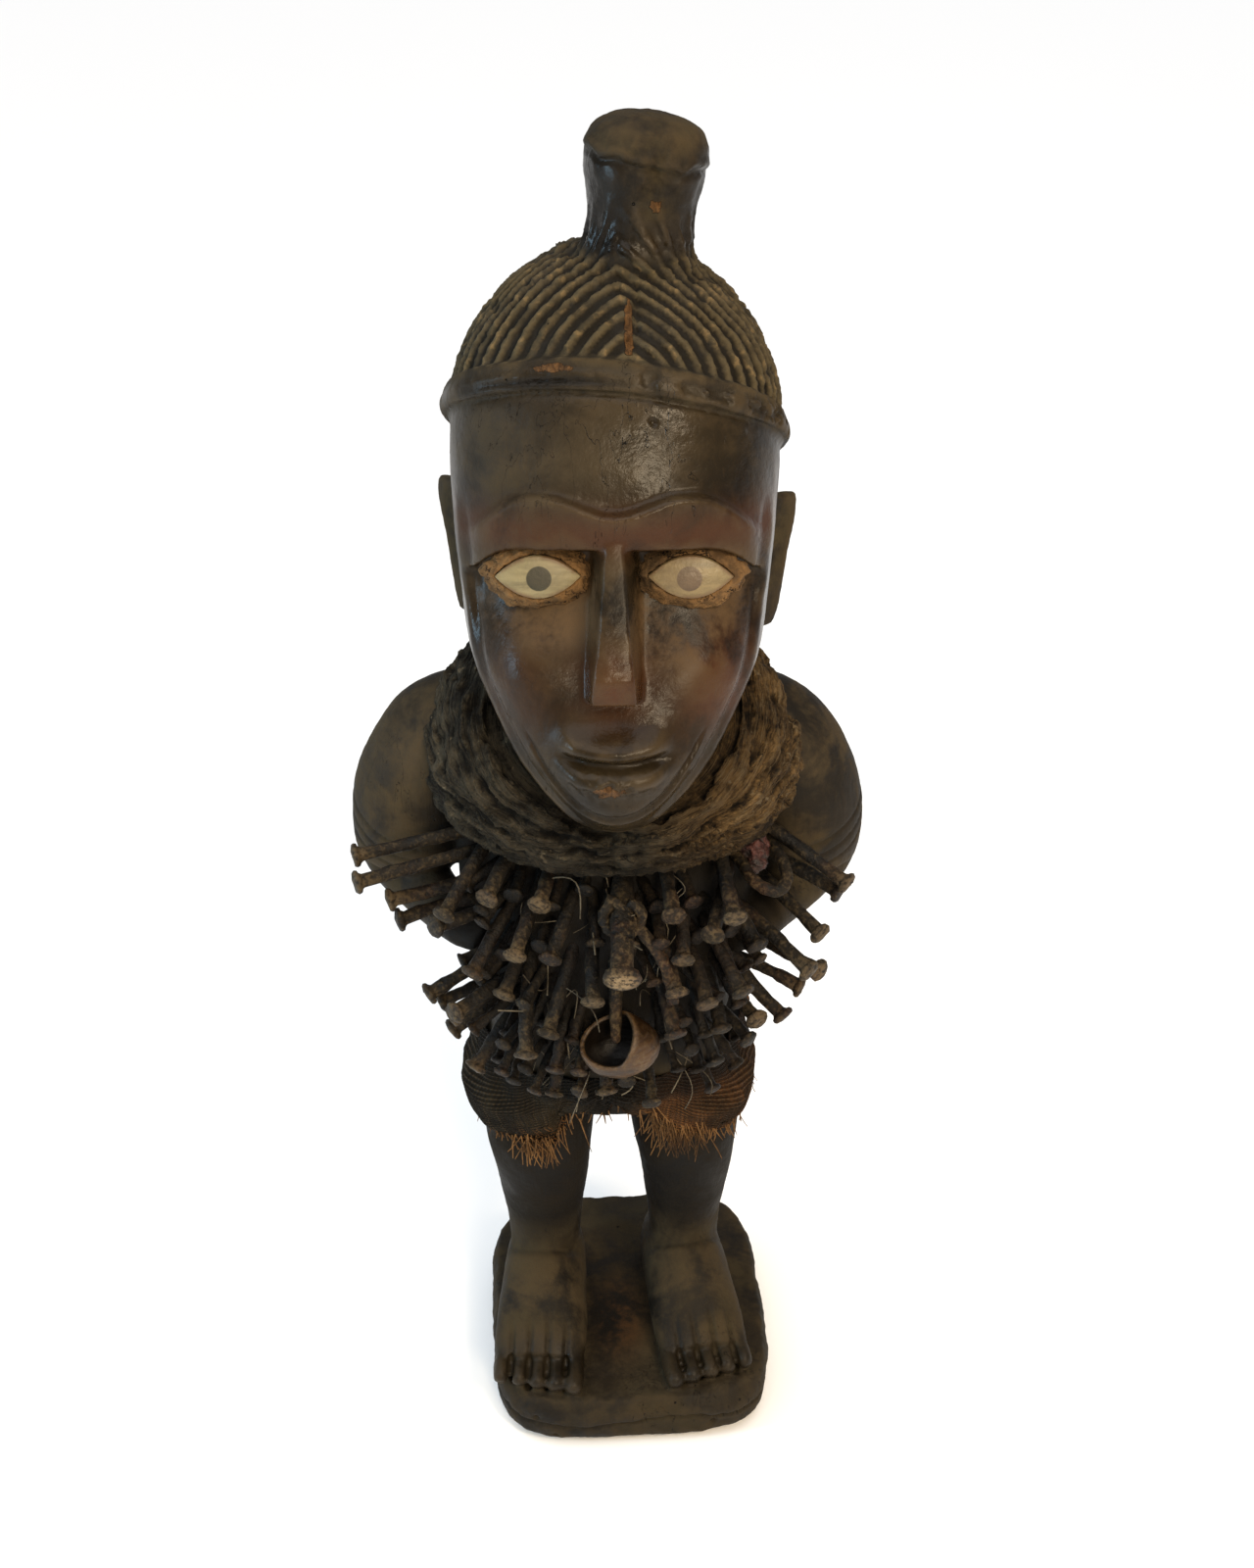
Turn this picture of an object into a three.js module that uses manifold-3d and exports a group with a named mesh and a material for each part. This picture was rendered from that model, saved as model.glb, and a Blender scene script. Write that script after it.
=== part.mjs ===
// A nail fetish figure: a wooden spirit figure on its own plinth, carved from one block. It has glazed eyes
// set in clay, a matted cord wrap round the neck, iron nails driven into the chest and belly, a snail shell
// and a raffia cloth round the hips. Millimetres, +Z up. The figure faces -Y, and the origin is the middle of
// its underside.
import * as THREE from "three";
import { mergeVertices } from "three/addons/utils/BufferGeometryUtils.js";
import Module from "manifold-3d";

const wasm = await Module();
wasm.setup();

// Driving dimensions
const gap = 0.4; // clearance that a separate piece keeps from the wood
const middle = -9; // the trunk stands a little to the viewer's left of the plinth's middle

// The head's own frame looks along -Y, leans back, and has z = 0 at the middle of the face.
const head = {
  place: [-5, 6, 461],
  lean: 12,
  chin: -106,
  hairline: 80,
  crown: 126,
  reach: 64, // from the head's axis to its front and back
};

// Height, half width, front, back, and how square the front is
const headSections = [
  [-106, 8, -62, -46, 2],
  [-101, 17, -70, -36, 2.1],
  [-91, 28, -76, -16, 2.3],
  [-76, 41, -77, 6, 2.5],
  [-58, 51.5, -75, 30, 2.7],
  [-38, 60, -72, 48, 2.9],
  [-12, 64, -71, 60, 3],
  [20, 67, -72, 67, 2.7],
  [50, 68, -71, 68, 2.4],
  [76, 65, -64, 64, 2.3],
  [98, 54, -49, 56, 2.2],
  [114, 38, -31, 44, 2.1],
  [126, 17, -7, 24, 2],
];

// The roll along the hairline falls towards the back and towards the viewer's right.
const hairBand = { wide: 6, proud: 4.4, fall: 22, cant: 5 };
const hair = { strokes: 6, drop: 13, ridge: 1.4, groove: -0.9, parting: -1.8 };

// The face follows the usual thirds: hairline, brow, foot of the nose, chin.
const third = (head.hairline - hairBand.wide - head.chin) / 3;
const brow = { fallBack: 0.55, lower: head.chin + 2 * third, tall: 22, middleDip: 7, endDrop: 20, reach: 60, proud: 6 };
const nose = { foot: head.chin + third, top: brow.lower + 5, facet: 12, proud: 18, half: 12 };
const eye = { line: brow.lower - 11, apart: 30, half: 17, lift: 8.5, hollow: 11, depth: -57, rim: 6 };
const mouth = { line: nose.foot - third * 0.4, half: 23, smile: 3, lip: 5 };

const topknot = {
  place: [4, 24, 581],
  lean: 5,
  profile: [[0, -8], [27, -8], [22.4, 0], [21, 8], [22, 22], [24.4, 37], [23.6, 45], [17.6, 51.5], [0, 55]],
};

// Height, half width, front, back
const trunkSquare = 2.3;
const trunkSections = [
  [178, 46, -30, 38],
  [187, 56, -38, 50],
  [200, 59, -45, 54],
  [224, 56, -50, 40],
  [252, 59, -56, 29],
  [284, 65, -56, 33],
  [314, 68, -52, 40],
  [344, 68, -43, 41],
  [370, 60, -34, 38],
  [392, 44, -32, 34],
  [418, 36, -34, 32],
];

// The viewer's left arm, from the shoulder to the hand at the waist. Place, half width across, half depth
const armStations = [
  [[-26, 6, 384], 18, 20],
  [[-66, 7, 371], 28, 29],
  [[-82, 8, 348], 30, 31],
  [[-89, 9, 324], 28, 29],
  [[-92, 12, 304], 22, 23],
  [[-87, 0, 296], 15, 15],
  [[-76, -16, 294], 12.5, 12.5],
  [[-63, -31, 293], 14, 9],
  [[-50, -44, 294], 11, 6],
];

const legStations = [
  [[0, 12, 214], 27, 34],
  [[-1, 8, 184], 30, 33],
  [[-1, 1, 152], 27, 28],
  [[0, 1, 130], 24, 25],
  [[0, 8, 104], 21.5, 23],
  [[0, 10, 76], 18.5, 20],
  [[0, 10, 34], 17, 22],
];

const footStations = [
  [[0, 36, 43], 10, 12],
  [[0, 28, 46], 17, 20],
  [[0, 8, 50], 21, 30],
  [[0, -16, 46], 22.5, 26],
  [[0, -36, 41], 23.5, 16],
  [[0, -54, 37], 22.5, 8],
];
const toe = { count: 5, wide: 9.3, tall: 6, long: 18, root: -56, height: 36.5 };
const feet = [
  { place: [-43, -4, 0], turn: -2, bigToe: 1 },
  { place: [30, 2, 0], turn: 11, bigToe: -1 },
];

const plinth = {
  turn: 4,
  square: 4.4,
  // height, half width, front, back
  sections: [[0, 65, -69, 68], [4, 69, -74.5, 72], [15, 71.5, -78, 75], [27, 71, -77, 75], [32, 68, -73, 72]],
};

const wrap = {
  place: [-6, -8],
  across: 57,
  through: 45,
  thick: 23,
  frontHeight: 371,
  backHeight: 392,
  frontTall: 26,
  backTall: 37,
  strands: 6,
  twist: 4,
  strandDepth: 1.8,
  narrowing: 0.26,
  jawRoom: 3.8,
};

const cloth = {
  square: 2.3,
  // height, half width, front, back of the gathered band
  band: [[183, 52, -46, 50], [196, 63, -53, 60], [215, 61, -54, 52]],
  // height, half width, half depth of the lobe over each thigh
  lobe: [[160, 23, 26], [165, 28, 35], [176, 31, 44], [190, 31, 48], [205, 26, 44]],
  // where each lobe hangs, and how far its hem is raised
  lobes: [[-51, 4, 0], [32, 5, 7]],
};

const nail = { shank: 2.9, head: 5.2, headThick: 2.6, clear: 0.7, sides: 6 };
// Where each nail stands across and up, its yaw and droop in degrees, and its reach
const nailPlaces = [
  [-64, 334, -68, 4, 59], [-60, 344, -66, 18, 58], [-64, 322, -74, 8, 44], [-60, 344, -27, 20, 48],
  [-46, 344, -23, 18, 38], [-66, 310, -70, 6, 38], [-66, 300, -72, 8, 38], [-64, 292, -78, 12, 40],
  [-50, 316, -35, 32, 40], [-38, 328, -16, 26, 42], [-30, 342, -13, 18, 35],
  [-22, 326, -20, 30, 39], [-62, 282, -62, 20, 34], [-60, 270, -76, 20, 28],
  [-58, 260, -70, 30, 28], [-52, 286, -43, 36, 34], [-24, 294, -21, 40, 40], [-40, 290, 7, 38, 46],
  [-52, 256, -46, 42, 33], [-14, 308, -1, 34, 38], [16, 340, 6, 16, 39], [40, 344, 8, 22, 48],
  [24, 322, 0, 30, 36], [14, 310, 16, 36, 37], [26, 298, 19, 32, 34], [12, 290, 20, 40, 37],
  [50, 344, 27, 16, 44], [44, 318, 27, 28, 34], [54, 345, 55, 20, 56], [56, 328, 50, 8, 46],
  [56, 318, 40, 16, 48], [54, 304, 51, 12, 49], [54, 294, 64, 12, 38], [34, 306, 31, 32, 40],
  [52, 290, 39, 20, 36], [50, 276, 66, 16, 34], [48, 266, 34, 10, 29], [-12, 246, 9, 50, 26],
  [32, 310, 20, 34, 38], [36, 276, 15, 38, 28], [-46, 296, -22, 34, 28],
];
const bigNail = { root: [-2, 334], yaw: 0, droop: 22, reach: 60, size: 1.55 };
const flattest = 0.45; // how square to the wood the flattest nail stands, where 1 is straight out

const loop = { along: 27, radius: 8.4, thick: 2.3, tilt: 12, turn: 14 };
const hoop = { place: [50, -16, 336], wide: 9, reach: 44, drop: 6, yaw: 20, thick: 2.6 };
const shell = {
  place: [-3, -74, 257],
  facing: [-0.3, -0.4, 0.87],
  long: 16,
  wide: 14,
  wall: 1.6,
  stretch: 1.3,
};
const peg = { root: [-5, 287], droop: 55, yaw: 0, reach: 34, thick: 3.6, tip: 2 };

// Colour, roughness and metalness
const finishes = {
  wood: [0x2e2118, 0.38, 0],
  clay: [0x7a5a34, 0.9, 0],
  glaze: [0xb5b39a, 0.2, 0],
  cord: [0x4a4032, 0.95, 0],
  raffia: [0x4d3b28, 0.95, 0],
  iron: [0x3a2c24, 0.8, 0.4],
  shell: [0x7d5a34, 0.45, 0],
};

// Solids
function solid(geometry) {
  const bare = geometry.clone();
  for (const name of Object.keys(bare.attributes)) if (name !== "position") bare.deleteAttribute(name);
  const merged = mergeVertices(bare, 1e-4);
  return new wasm.Manifold(
    new wasm.Mesh({
      numProp: 3,
      vertProperties: new Float32Array(merged.attributes.position.array),
      triVerts: new Uint32Array(merged.index.array),
    }),
  );
}

function geometryOf(manifold) {
  const mesh = manifold.getMesh();
  const positions = new Float32Array(mesh.numVert * 3);
  for (let i = 0; i < mesh.numVert; i++)
    positions.set(mesh.vertProperties.subarray(i * mesh.numProp, i * mesh.numProp + 3), i * 3);
  return new THREE.BufferGeometry()
    .setAttribute("position", new THREE.BufferAttribute(positions, 3))
    .setIndex(new THREE.BufferAttribute(mesh.triVerts, 1));
}

const together = (solids) => solids.reduce((sum, next) => sum.add(next));
const largest = (manifold) => manifold.decompose().sort((a, b) => b.volume() - a.volume())[0];
const radians = THREE.MathUtils.degToRad;
const mix = THREE.MathUtils.lerp;
const step = THREE.MathUtils.smoothstep;
const hill = (distance, width) => Math.exp(-((distance / width) ** 2));
const signedPower = (value, power) => Math.sign(value) * Math.abs(value) ** power;

// A closed skin over rings, from the bottom up. Each ring turns a point of the unit circle, or its middle,
// into a place.
function skin(rings, sides) {
  const geometry = new THREE.CylinderGeometry(1, 1, 1, sides, rings.length - 1);
  const position = geometry.getAttribute("position");
  const point = new THREE.Vector3();
  for (let i = 0; i < position.count; i++) {
    point.fromBufferAttribute(position, i);
    const ring = rings[Math.round((0.5 - point.y) * (rings.length - 1))];
    position.setXYZ(i, ...ring(point.x, point.z));
  }
  return solid(geometry);
}

// Level sections from the bottom up: height, middle across, half width, front, back
function stack(sections, sides, square = 2) {
  const rings = sections.map(([height, centre, half, front, back]) => (x, z) => [
    centre + half * signedPower(x, 2 / square),
    (front + back) / 2 + ((back - front) / 2) * signedPower(z, 2 / square),
    height,
  ]);
  return skin(rings, sides);
}

// Sections square to a path, each with a half width along the given side and a half depth
function sweep(stations, sides, side = new THREE.Vector3(1, 0, 0)) {
  const places = stations.map(([place]) => new THREE.Vector3(...place));
  const rings = stations.map(([, half, deep], i) => {
    const before = places[Math.max(i - 1, 0)];
    const ahead = places[Math.min(i + 1, places.length - 1)].clone().sub(before).normalize();
    const right = side.clone().addScaledVector(ahead, -side.dot(ahead)).normalize().multiplyScalar(half);
    const through = ahead.clone().cross(right).normalize().multiplyScalar(deep);
    return (x, z) => places[i].clone().addScaledVector(right, x).addScaledVector(through, z).toArray();
  });
  return skin(rings, sides);
}

// A smooth reading between rows that start with their height
function smoothRows(rows) {
  const heights = rows.map((row) => row[0]);
  const curve = new THREE.CubicInterpolant(heights, rows.flatMap((row) => row.slice(1)), rows[0].length - 1);
  return (height) => Array.from(curve.evaluate(height));
}

// A rod along a curve
function rod(points, radius) {
  const path = new THREE.CatmullRomCurve3(points.map((point) => new THREE.Vector3(...point)));
  const section = new THREE.Shape();
  section.absarc(0, 0, radius, 0, Math.PI * 2);
  const shape = { steps: 8, curveSegments: nail.sides / 2, extrudePath: path };
  return solid(new THREE.ExtrudeGeometry(section, shape));
}

function seeded(seed) {
  let state = seed;
  return () => {
    state = (state * 1664525 + 1013904223) % 4294967296;
    return state / 4294967296;
  };
}

// Head
const headFrame = new THREE.Matrix4()
  .makeTranslation(...head.place)
  .multiply(new THREE.Matrix4().makeRotationX(radians(-head.lean)));
const headAt = smoothRows(headSections);
const inHead = (x, y, z) => new THREE.Vector3(x, y, z).applyMatrix4(headFrame).toArray();
const toHead = (manifold) => manifold.transform(headFrame.toArray());

// The hairline's height, by the turn from the back of the head
function hairlineAt(turn) {
  const behind = head.reach * (1 + Math.cos(turn));
  const across = head.reach * Math.sin(turn);
  const fall = behind * Math.tan(radians(hairBand.fall));
  const cant = across * Math.tan(radians(hairBand.cant));
  return head.hairline - fall - cant;
}

// The upper line of the brow: two arches that fall to the temples
function browUpper(x) {
  const out = Math.abs(x) / brow.reach;
  const dip = brow.middleDip * (1 - step(out, 0, 0.45));
  return brow.lower + brow.tall - dip - brow.endDrop * step(out, 0.5, 1.1) ** 1.3;
}

// How far the face stands out of the plain head, forwards
function faceRelief(x, z) {
  const side = Math.abs(x);
  const onFace = 1 - step(side, brow.reach - 8, brow.reach + 2);
  const lowerEdge = brow.lower - 14 * step(side, 30, 64) ** 2;
  const upperEdge = browUpper(x);
  const band = step(z, lowerEdge - 1, lowerEdge) * (1 - step(z, upperEdge - 1.5, upperEdge + 1.5));
  const down = Math.min(1, Math.max(0, (upperEdge - z) / (upperEdge - lowerEdge)));
  const ridge = brow.proud * band * (1 - brow.fallBack * down);
  const underBrow = 1 - step(z, lowerEdge - 1, lowerEdge + 0.5);
  const socket = eye.hollow * underBrow * step(z, nose.foot + 2, eye.line) * step(side, 5, 11);
  const cheek = 4 * hill(side - 36, 16) * hill(z - nose.foot - 12, 18);
  const muzzle = 8 * hill(side, 27) * hill(z - mouth.line + 2, 19);
  const line = mouth.line + mouth.smile * (side / mouth.half) ** 2;
  const width = 1 - step(side, mouth.half - 8, mouth.half + 3);
  const lips = mouth.lip * width * (hill(z - line - 6, 5) + hill(z - line + 7, 5));
  const parted = mouth.lip * width * hill(z - line, 2.4);
  const chin = 3 * hill(side, 15) * hill(z - head.chin - 15, 8);
  return (ridge - socket) * onFace + cheek + muzzle + lips - parted + chin;
}

const faceRows = [
  head.chin, head.chin + 4, head.chin + 12,
  mouth.line - 12, mouth.line - 8, mouth.line - 3.5, mouth.line,
  mouth.line + 3, mouth.line + 7, mouth.line + 13,
  nose.foot, nose.foot + 14, nose.foot + 28, nose.foot + 41,
  eye.line, brow.lower - 1, brow.lower + 0.5,
];

// The height and the outward swell of each row of the head, by the turn from the back
function headRows() {
  const rows = faceRows.map((height) => [() => height, () => 0]);
  // Two rows follow the upper line of the brow, and one lies between it and the hairline.
  const browAt = (turn) => {
    const inFront = 1 - step(Math.cos(turn), -0.3, 0);
    return browUpper(head.reach * signedPower(Math.sin(turn), 0.8) * inFront);
  };
  const low = (turn) => mix(browAt(turn), brow.lower + 4, step(Math.cos(turn), -0.5, 0));
  rows.push([(turn) => low(turn) - 2, () => 0], [(turn) => low(turn) + 2, () => 0]);
  rows.push([(turn) => mix(low(turn) + 2, hairlineAt(turn) - hairBand.wide, 0.5), () => 0]);
  for (const [up, out] of [[-1, 0.05], [-0.55, 0.9], [0.45, 0.9], [1, 0.05]])
    rows.push([(turn) => hairlineAt(turn) + up * hairBand.wide, () => out * hairBand.proud]);
  // Hair strokes run up to the crown as chevrons from a parting in front and behind.
  const count = hair.strokes * 2;
  for (let i = 1; i <= count; i++) {
    const share = i / count;
    const swell = i === count ? 0 : i % 2 ? hair.ridge : hair.groove;
    const level = (turn) => {
      const climb = Math.sin(((share * Math.PI) / 2) * 0.96);
      const drop = hair.drop * Math.abs(Math.sin(turn)) * Math.sin(share * Math.PI);
      return mix(hairlineAt(turn) + hairBand.wide, head.crown, climb) - drop;
    };
    const parted = (turn) => i < count && Math.abs(Math.sin(turn)) < 0.03;
    rows.push([level, (turn) => (parted(turn) ? hair.parting : swell)]);
  }
  return rows;
}

function skull() {
  const rings = headRows().map(([level, out]) => (x, z) => {
    const reach = Math.hypot(x, z);
    // More of the sides lie on the face than behind it.
    const turn = Math.atan2(x, z) + 0.42 * Math.sin(Math.atan2(x, z));
    const facing = -Math.cos(turn);
    const height = level(turn);
    const [half, front, back, square] = headAt(height);
    const power = facing > 0 ? 2 / square : 1;
    const across = (half + out(turn)) * reach * signedPower(Math.sin(turn), power);
    const through = ((back - front) / 2 + out(turn)) * reach * signedPower(facing, power);
    const carved = height < hairlineAt(turn) - hairBand.wide;
    const relief = carved ? faceRelief(across, height) * step(facing, 0.1, 0.5) * reach : 0;
    return inHead(across, (front + back) / 2 - through - relief, height);
  });
  return skin(rings, 24);
}

function noseSolid() {
  const { foot, top, facet, proud, half } = nose;
  const root = -58;
  const face = -72;
  // height, half width of the ridge, half width of the root, how far the ridge stands out
  const cuts = [
    [foot, half - 3, half + 2, proud - 5],
    [foot + facet, half - 4, half + 1, proud],
    [foot + facet + 16, half - 6, half, proud - 4],
    [top, half - 9, half - 3, proud - 15],
  ];
  const rings = cuts.map(([height, ridge, flank, out]) => (x, z) => {
    const across = THREE.MathUtils.clamp(x * Math.SQRT2, -1, 1);
    const ahead = (1 - THREE.MathUtils.clamp(z * Math.SQRT2, -1, 1)) / 2;
    return inHead(mix(flank, ridge, ahead) * across, mix(root, face - out, ahead), height);
  });
  return skin(rings, 8);
}

// A flat ear that tapers downwards, with a hollow in its face
function ear(side) {
  const outline = new THREE.Shape();
  outline.moveTo(-5, -34);
  outline.lineTo(4, -32);
  outline.quadraticCurveTo(9, -16, 14, 2);
  outline.quadraticCurveTo(20, 22, 17, 25);
  outline.lineTo(-6, 24);
  outline.lineTo(-5, -34);
  const shape = { depth: 4, bevelThickness: 1.2, bevelSize: 1.2, bevelSegments: 1, curveSegments: 2 };
  const slab = solid(new THREE.ExtrudeGeometry(outline, shape));
  const face = side > 0 ? -1.5 : 5.5;
  const hollow = solid(new THREE.SphereGeometry(1, 6, 4).scale(7, 16, 3.2).translate(6, 2, face));
  const [height, flare] = side > 0 ? [-6, 48] : [1, 54];
  const place = new THREE.Matrix4()
    .makeTranslation(side * 63.5, 20, height)
    .multiply(new THREE.Matrix4().makeRotationZ(radians(90 - side * flare)))
    .multiply(new THREE.Matrix4().makeRotationX(Math.PI / 2));
  return toHead(slab.subtract(hollow).transform(place.toArray()));
}

function topknotSolid() {
  const points = topknot.profile.map(([radius, height]) => new THREE.Vector2(radius, height));
  const turned = new THREE.LatheGeometry(points, 14)
    .rotateX(Math.PI / 2)
    .rotateY(radians(topknot.lean))
    .rotateX(radians(-topknot.lean))
    .translate(...topknot.place);
  return solid(turned);
}

// Body
const trunkAt = smoothRows(trunkSections);
const trunkRows = [168, 179, 196, 218, 242, 268, 294, 320, 346, 370, 392, 418];

function trunkSolid(grow) {
  const sections = trunkRows.map((height) => {
    const [half, front, back] = trunkAt(height);
    return [height, middle, half + grow, front - grow, back + grow];
  });
  return stack(sections, 18, trunkSquare);
}

// The trunk's front surface at a place across and a height, and the way that it faces there
function trunkFront(x, z) {
  const [half, front, back] = trunkAt(z);
  const across = Math.min(0.98, Math.abs(x - middle) / half);
  return (front + back) / 2 - ((back - front) / 2) * (1 - across ** trunkSquare) ** (1 / trunkSquare);
}

function trunkFacing(x, z) {
  const slopeAcross = (trunkFront(x + 1, z) - trunkFront(x - 1, z)) / 2;
  const slopeUp = (trunkFront(x, z + 1) - trunkFront(x, z - 1)) / 2;
  return new THREE.Vector3(slopeAcross, -1, slopeUp).normalize();
}

function armSolid(side, grow) {
  const stations = armStations.map(([[x, y, z], half, deep]) => [
    [middle + side * x, y, z],
    half + grow,
    deep + grow,
  ]);
  return sweep(stations, 9, new THREE.Vector3(0, 1, 0));
}

function legSolid({ place }, grow) {
  const stations = legStations.map(([[x, y, z], half, deep]) => [
    [place[0] + x, place[1] + y, z],
    half + grow,
    deep + grow,
  ]);
  return sweep(stations, 10);
}

function footSolid({ place, turn, bigToe }) {
  const parts = [sweep(footStations, 9)];
  for (let i = 0; i < toe.count; i++) {
    const across = i - (toe.count - 1) / 2;
    const share = (1 + (bigToe * across) / 2) / 2; // 1 at the big toe
    const x = across * toe.wide;
    const tip = toe.root - toe.long * (0.45 + 0.35 * share);
    const half = toe.wide * (0.4 + 0.09 * share);
    const stations = [
      [[x * 0.94, toe.root + 14, toe.height], half, toe.tall],
      [[x, tip + 5, toe.height], half, toe.tall],
      [[x, tip, toe.height - 1], half * 0.7, toe.tall * 0.7],
    ];
    parts.push(sweep(stations, 6));
  }
  return together(parts).rotate([0, 0, turn]).translate(place);
}

// Sections that lie round a given middle
const about = (centre, sections) => sections.map(([height, ...rest]) => [height, centre, ...rest]);

const plinthSolid = () => stack(about(0, plinth.sections), 20, plinth.square).rotate([0, 0, plinth.turn]);

function body(grow) {
  const legs = feet.map((foot) => legSolid(foot, grow));
  return together([trunkSolid(grow), armSolid(1, grow), armSolid(-1, grow), ...legs]);
}

// A plain head, to clear the wrap from the jaw and neck
function plainHead(grow) {
  const rows = headSections.slice(0, 9);
  const rings = rows.map(([height, half, front, back], i) => (x, z) => {
    const low = i ? height : height - grow;
    return inHead((half + grow) * x, (front + back) / 2 + ((back - front) / 2 + grow) * z, low);
  });
  return skin(rings, 12);
}

// Eyes: a clay bed in each hollow, and a glazed almond set in it
function eyeBed(side, grow) {
  const half = eye.half + eye.rim + grow;
  const tall = eye.lift + eye.rim - 1 + grow;
  const ball = new THREE.SphereGeometry(1, 9, 6).scale(half, eye.hollow + grow, tall);
  return toHead(solid(ball.translate(side * eye.apart, eye.depth, eye.line - 1)));
}

function eyeAlmond(side, grow) {
  const half = eye.half + grow;
  const lift = eye.lift + grow;
  const lid = new THREE.Shape();
  lid.moveTo(-half, 0);
  lid.quadraticCurveTo(0, lift * 1.9, half, 0);
  lid.quadraticCurveTo(0, -lift * 2.1, -half, 0);
  const shape = { depth: 16, bevelEnabled: false, curveSegments: 4 };
  const prism = new THREE.ExtrudeGeometry(lid, shape).rotateX(Math.PI / 2);
  return toHead(solid(prism.translate(side * eye.apart, eye.depth - 5 + grow, eye.line)));
}

// The domed front of an eye
function eyeFront(side) {
  const ball = new THREE.SphereGeometry(1, 10, 6).rotateX(Math.PI / 2).scale(27, 13, 20);
  return toHead(solid(ball.translate(side * eye.apart, eye.depth, eye.line)));
}

// Neck wrap: a thick collar of matted cords, lower at the front
function wrapSolid() {
  const { place, across, through, thick, strands, twist, strandDepth, narrowing } = wrap;
  const geometry = new THREE.TorusGeometry(1, 0.25, 8, 21);
  const position = geometry.getAttribute("position");
  for (let i = 0; i < position.count; i++) {
    const [x, y, z] = [position.getX(i), position.getY(i), position.getZ(i)];
    const turn = Math.atan2(y, x);
    const round = Math.atan2(z, Math.hypot(x, y) - 1);
    const back = (1 + Math.sin(turn)) / 2;
    const ridge = strandDepth * Math.cos(strands * round + twist * turn);
    const up = Math.sin(round) * (mix(wrap.frontTall, wrap.backTall, back) + ridge);
    const out = Math.cos(round) * (thick + ridge) - up * narrowing;
    const height = mix(wrap.frontHeight, wrap.backHeight, back) + up;
    const right = place[0] + Math.cos(turn) * (across + out);
    const behind = place[1] + Math.sin(turn) * (through + out);
    position.setXYZ(i, right, behind, height);
  }
  return solid(geometry);
}

// Hip cloth: a gathered band, and a lobe over each thigh
function clothSolid() {
  const band = stack(about(middle, cloth.band), 14, cloth.square);
  const lobes = cloth.lobes.map(([x, y, rise]) => {
    const sections = cloth.lobe.map(([height, half, deep]) => [height + rise, x, half, y - deep, y + deep]);
    return stack(sections, 9, cloth.square);
  });
  return together([band, ...lobes]);
}

// Iron
const aim = (yaw, droop) =>
  new THREE.Vector3(0, -1, 0)
    .applyAxisAngle(new THREE.Vector3(1, 0, 0), radians(droop))
    .applyAxisAngle(new THREE.Vector3(0, 0, 1), radians(yaw));

// A round iron that stands on the trunk's surface. The profile holds distances along it and radii.
function ironOn([x, z], ahead, profile, sides) {
  const root = new THREE.Vector3(x, trunkFront(x, z), z);
  const facing = trunkFacing(x, z);
  const side = new THREE.Vector3(0, 0, 1).cross(ahead).normalize();
  const over = ahead.clone().cross(side);
  const rings = profile.map(([distance, radius], i) => (u, v) => {
    const place = root.clone().addScaledVector(side, radius * u).addScaledVector(over, radius * v);
    // The root end is cut along the wood.
    const slide = i ? distance : (gap - place.clone().sub(root).dot(facing)) / ahead.dot(facing);
    return place.addScaledVector(ahead, slide).toArray();
  });
  return skin(rings, sides);
}

function nailSolid(root, ahead, reach, size) {
  const { shank, head: wide, headThick, sides } = nail;
  const under = reach - headThick * size;
  const profile = [[0, shank * 0.85], [under - 1, shank * 1.08], [under, wide], [reach, wide * 0.78]];
  return ironOn(root, ahead, profile.map(([distance, radius]) => [distance, radius * size]), sides);
}

// Places along a nail with the room that each needs, so that no two nails cross
function roomOf([x, z], ahead, reach, size = 1) {
  const root = new THREE.Vector3(x, trunkFront(x, z), z);
  const spots = [];
  for (let i = 0; i <= 10; i++) {
    const place = root.clone().addScaledVector(ahead, (reach * i) / 10);
    spots.push({ place, room: (i > 8 ? nail.head : nail.shank) * size + nail.clear / 2 });
  }
  return spots;
}

const near = (a, b) => a.place.distanceTo(b.place) < a.room + b.room;
const crosses = (one, other) => one.some((a) => other.some((b) => near(a, b)));
const roomAround = (place, room) => [{ place: new THREE.Vector3(...place), room }];

const nails = [];
const taken = [
  roomAround(shell.place, shell.long + 1),
  roomAround([hoop.place[0] + 10, hoop.place[1] - 30, hoop.place[2] - 4], 14),
  roomOf(peg.root, aim(peg.yaw, peg.droop), peg.reach, 1.3),
];
for (const side of [-1, 1])
  for (const [[x, y, z], half, deep] of armStations.slice(3))
    taken.push(roomAround([middle + side * x, y, z], Math.min(half, deep) + 1));

function drive(root, yaw, droop, reach, size = 1) {
  const ahead = aim(yaw, droop);
  const spots = roomOf(root, ahead, reach, size);
  if (ahead.dot(trunkFacing(...root)) < flattest) return false;
  if (taken.some((other) => crosses(spots, other))) return false;
  const driven = nailSolid(root, ahead, reach, size);
  if (inTheWay.some((other) => driven.intersect(other).volume() > 0)) return false;
  taken.push(spots);
  nails.push(driven);
  return true;
}

// A nail that would cross another one moves a little, until it fits.
function driveAll() {
  const chance = seeded(7);
  for (const [x, z, yaw, droop, reach] of nailPlaces) {
    let driven = false;
    for (let attempt = 0; attempt < 60 && !driven; attempt++) {
      const wander = (most) => (chance() - 0.5) * most * attempt * 0.06;
      driven = drive([x + wander(16), z + wander(16)], yaw + wander(40), droop + wander(30), reach);
    }
  }
}

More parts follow.
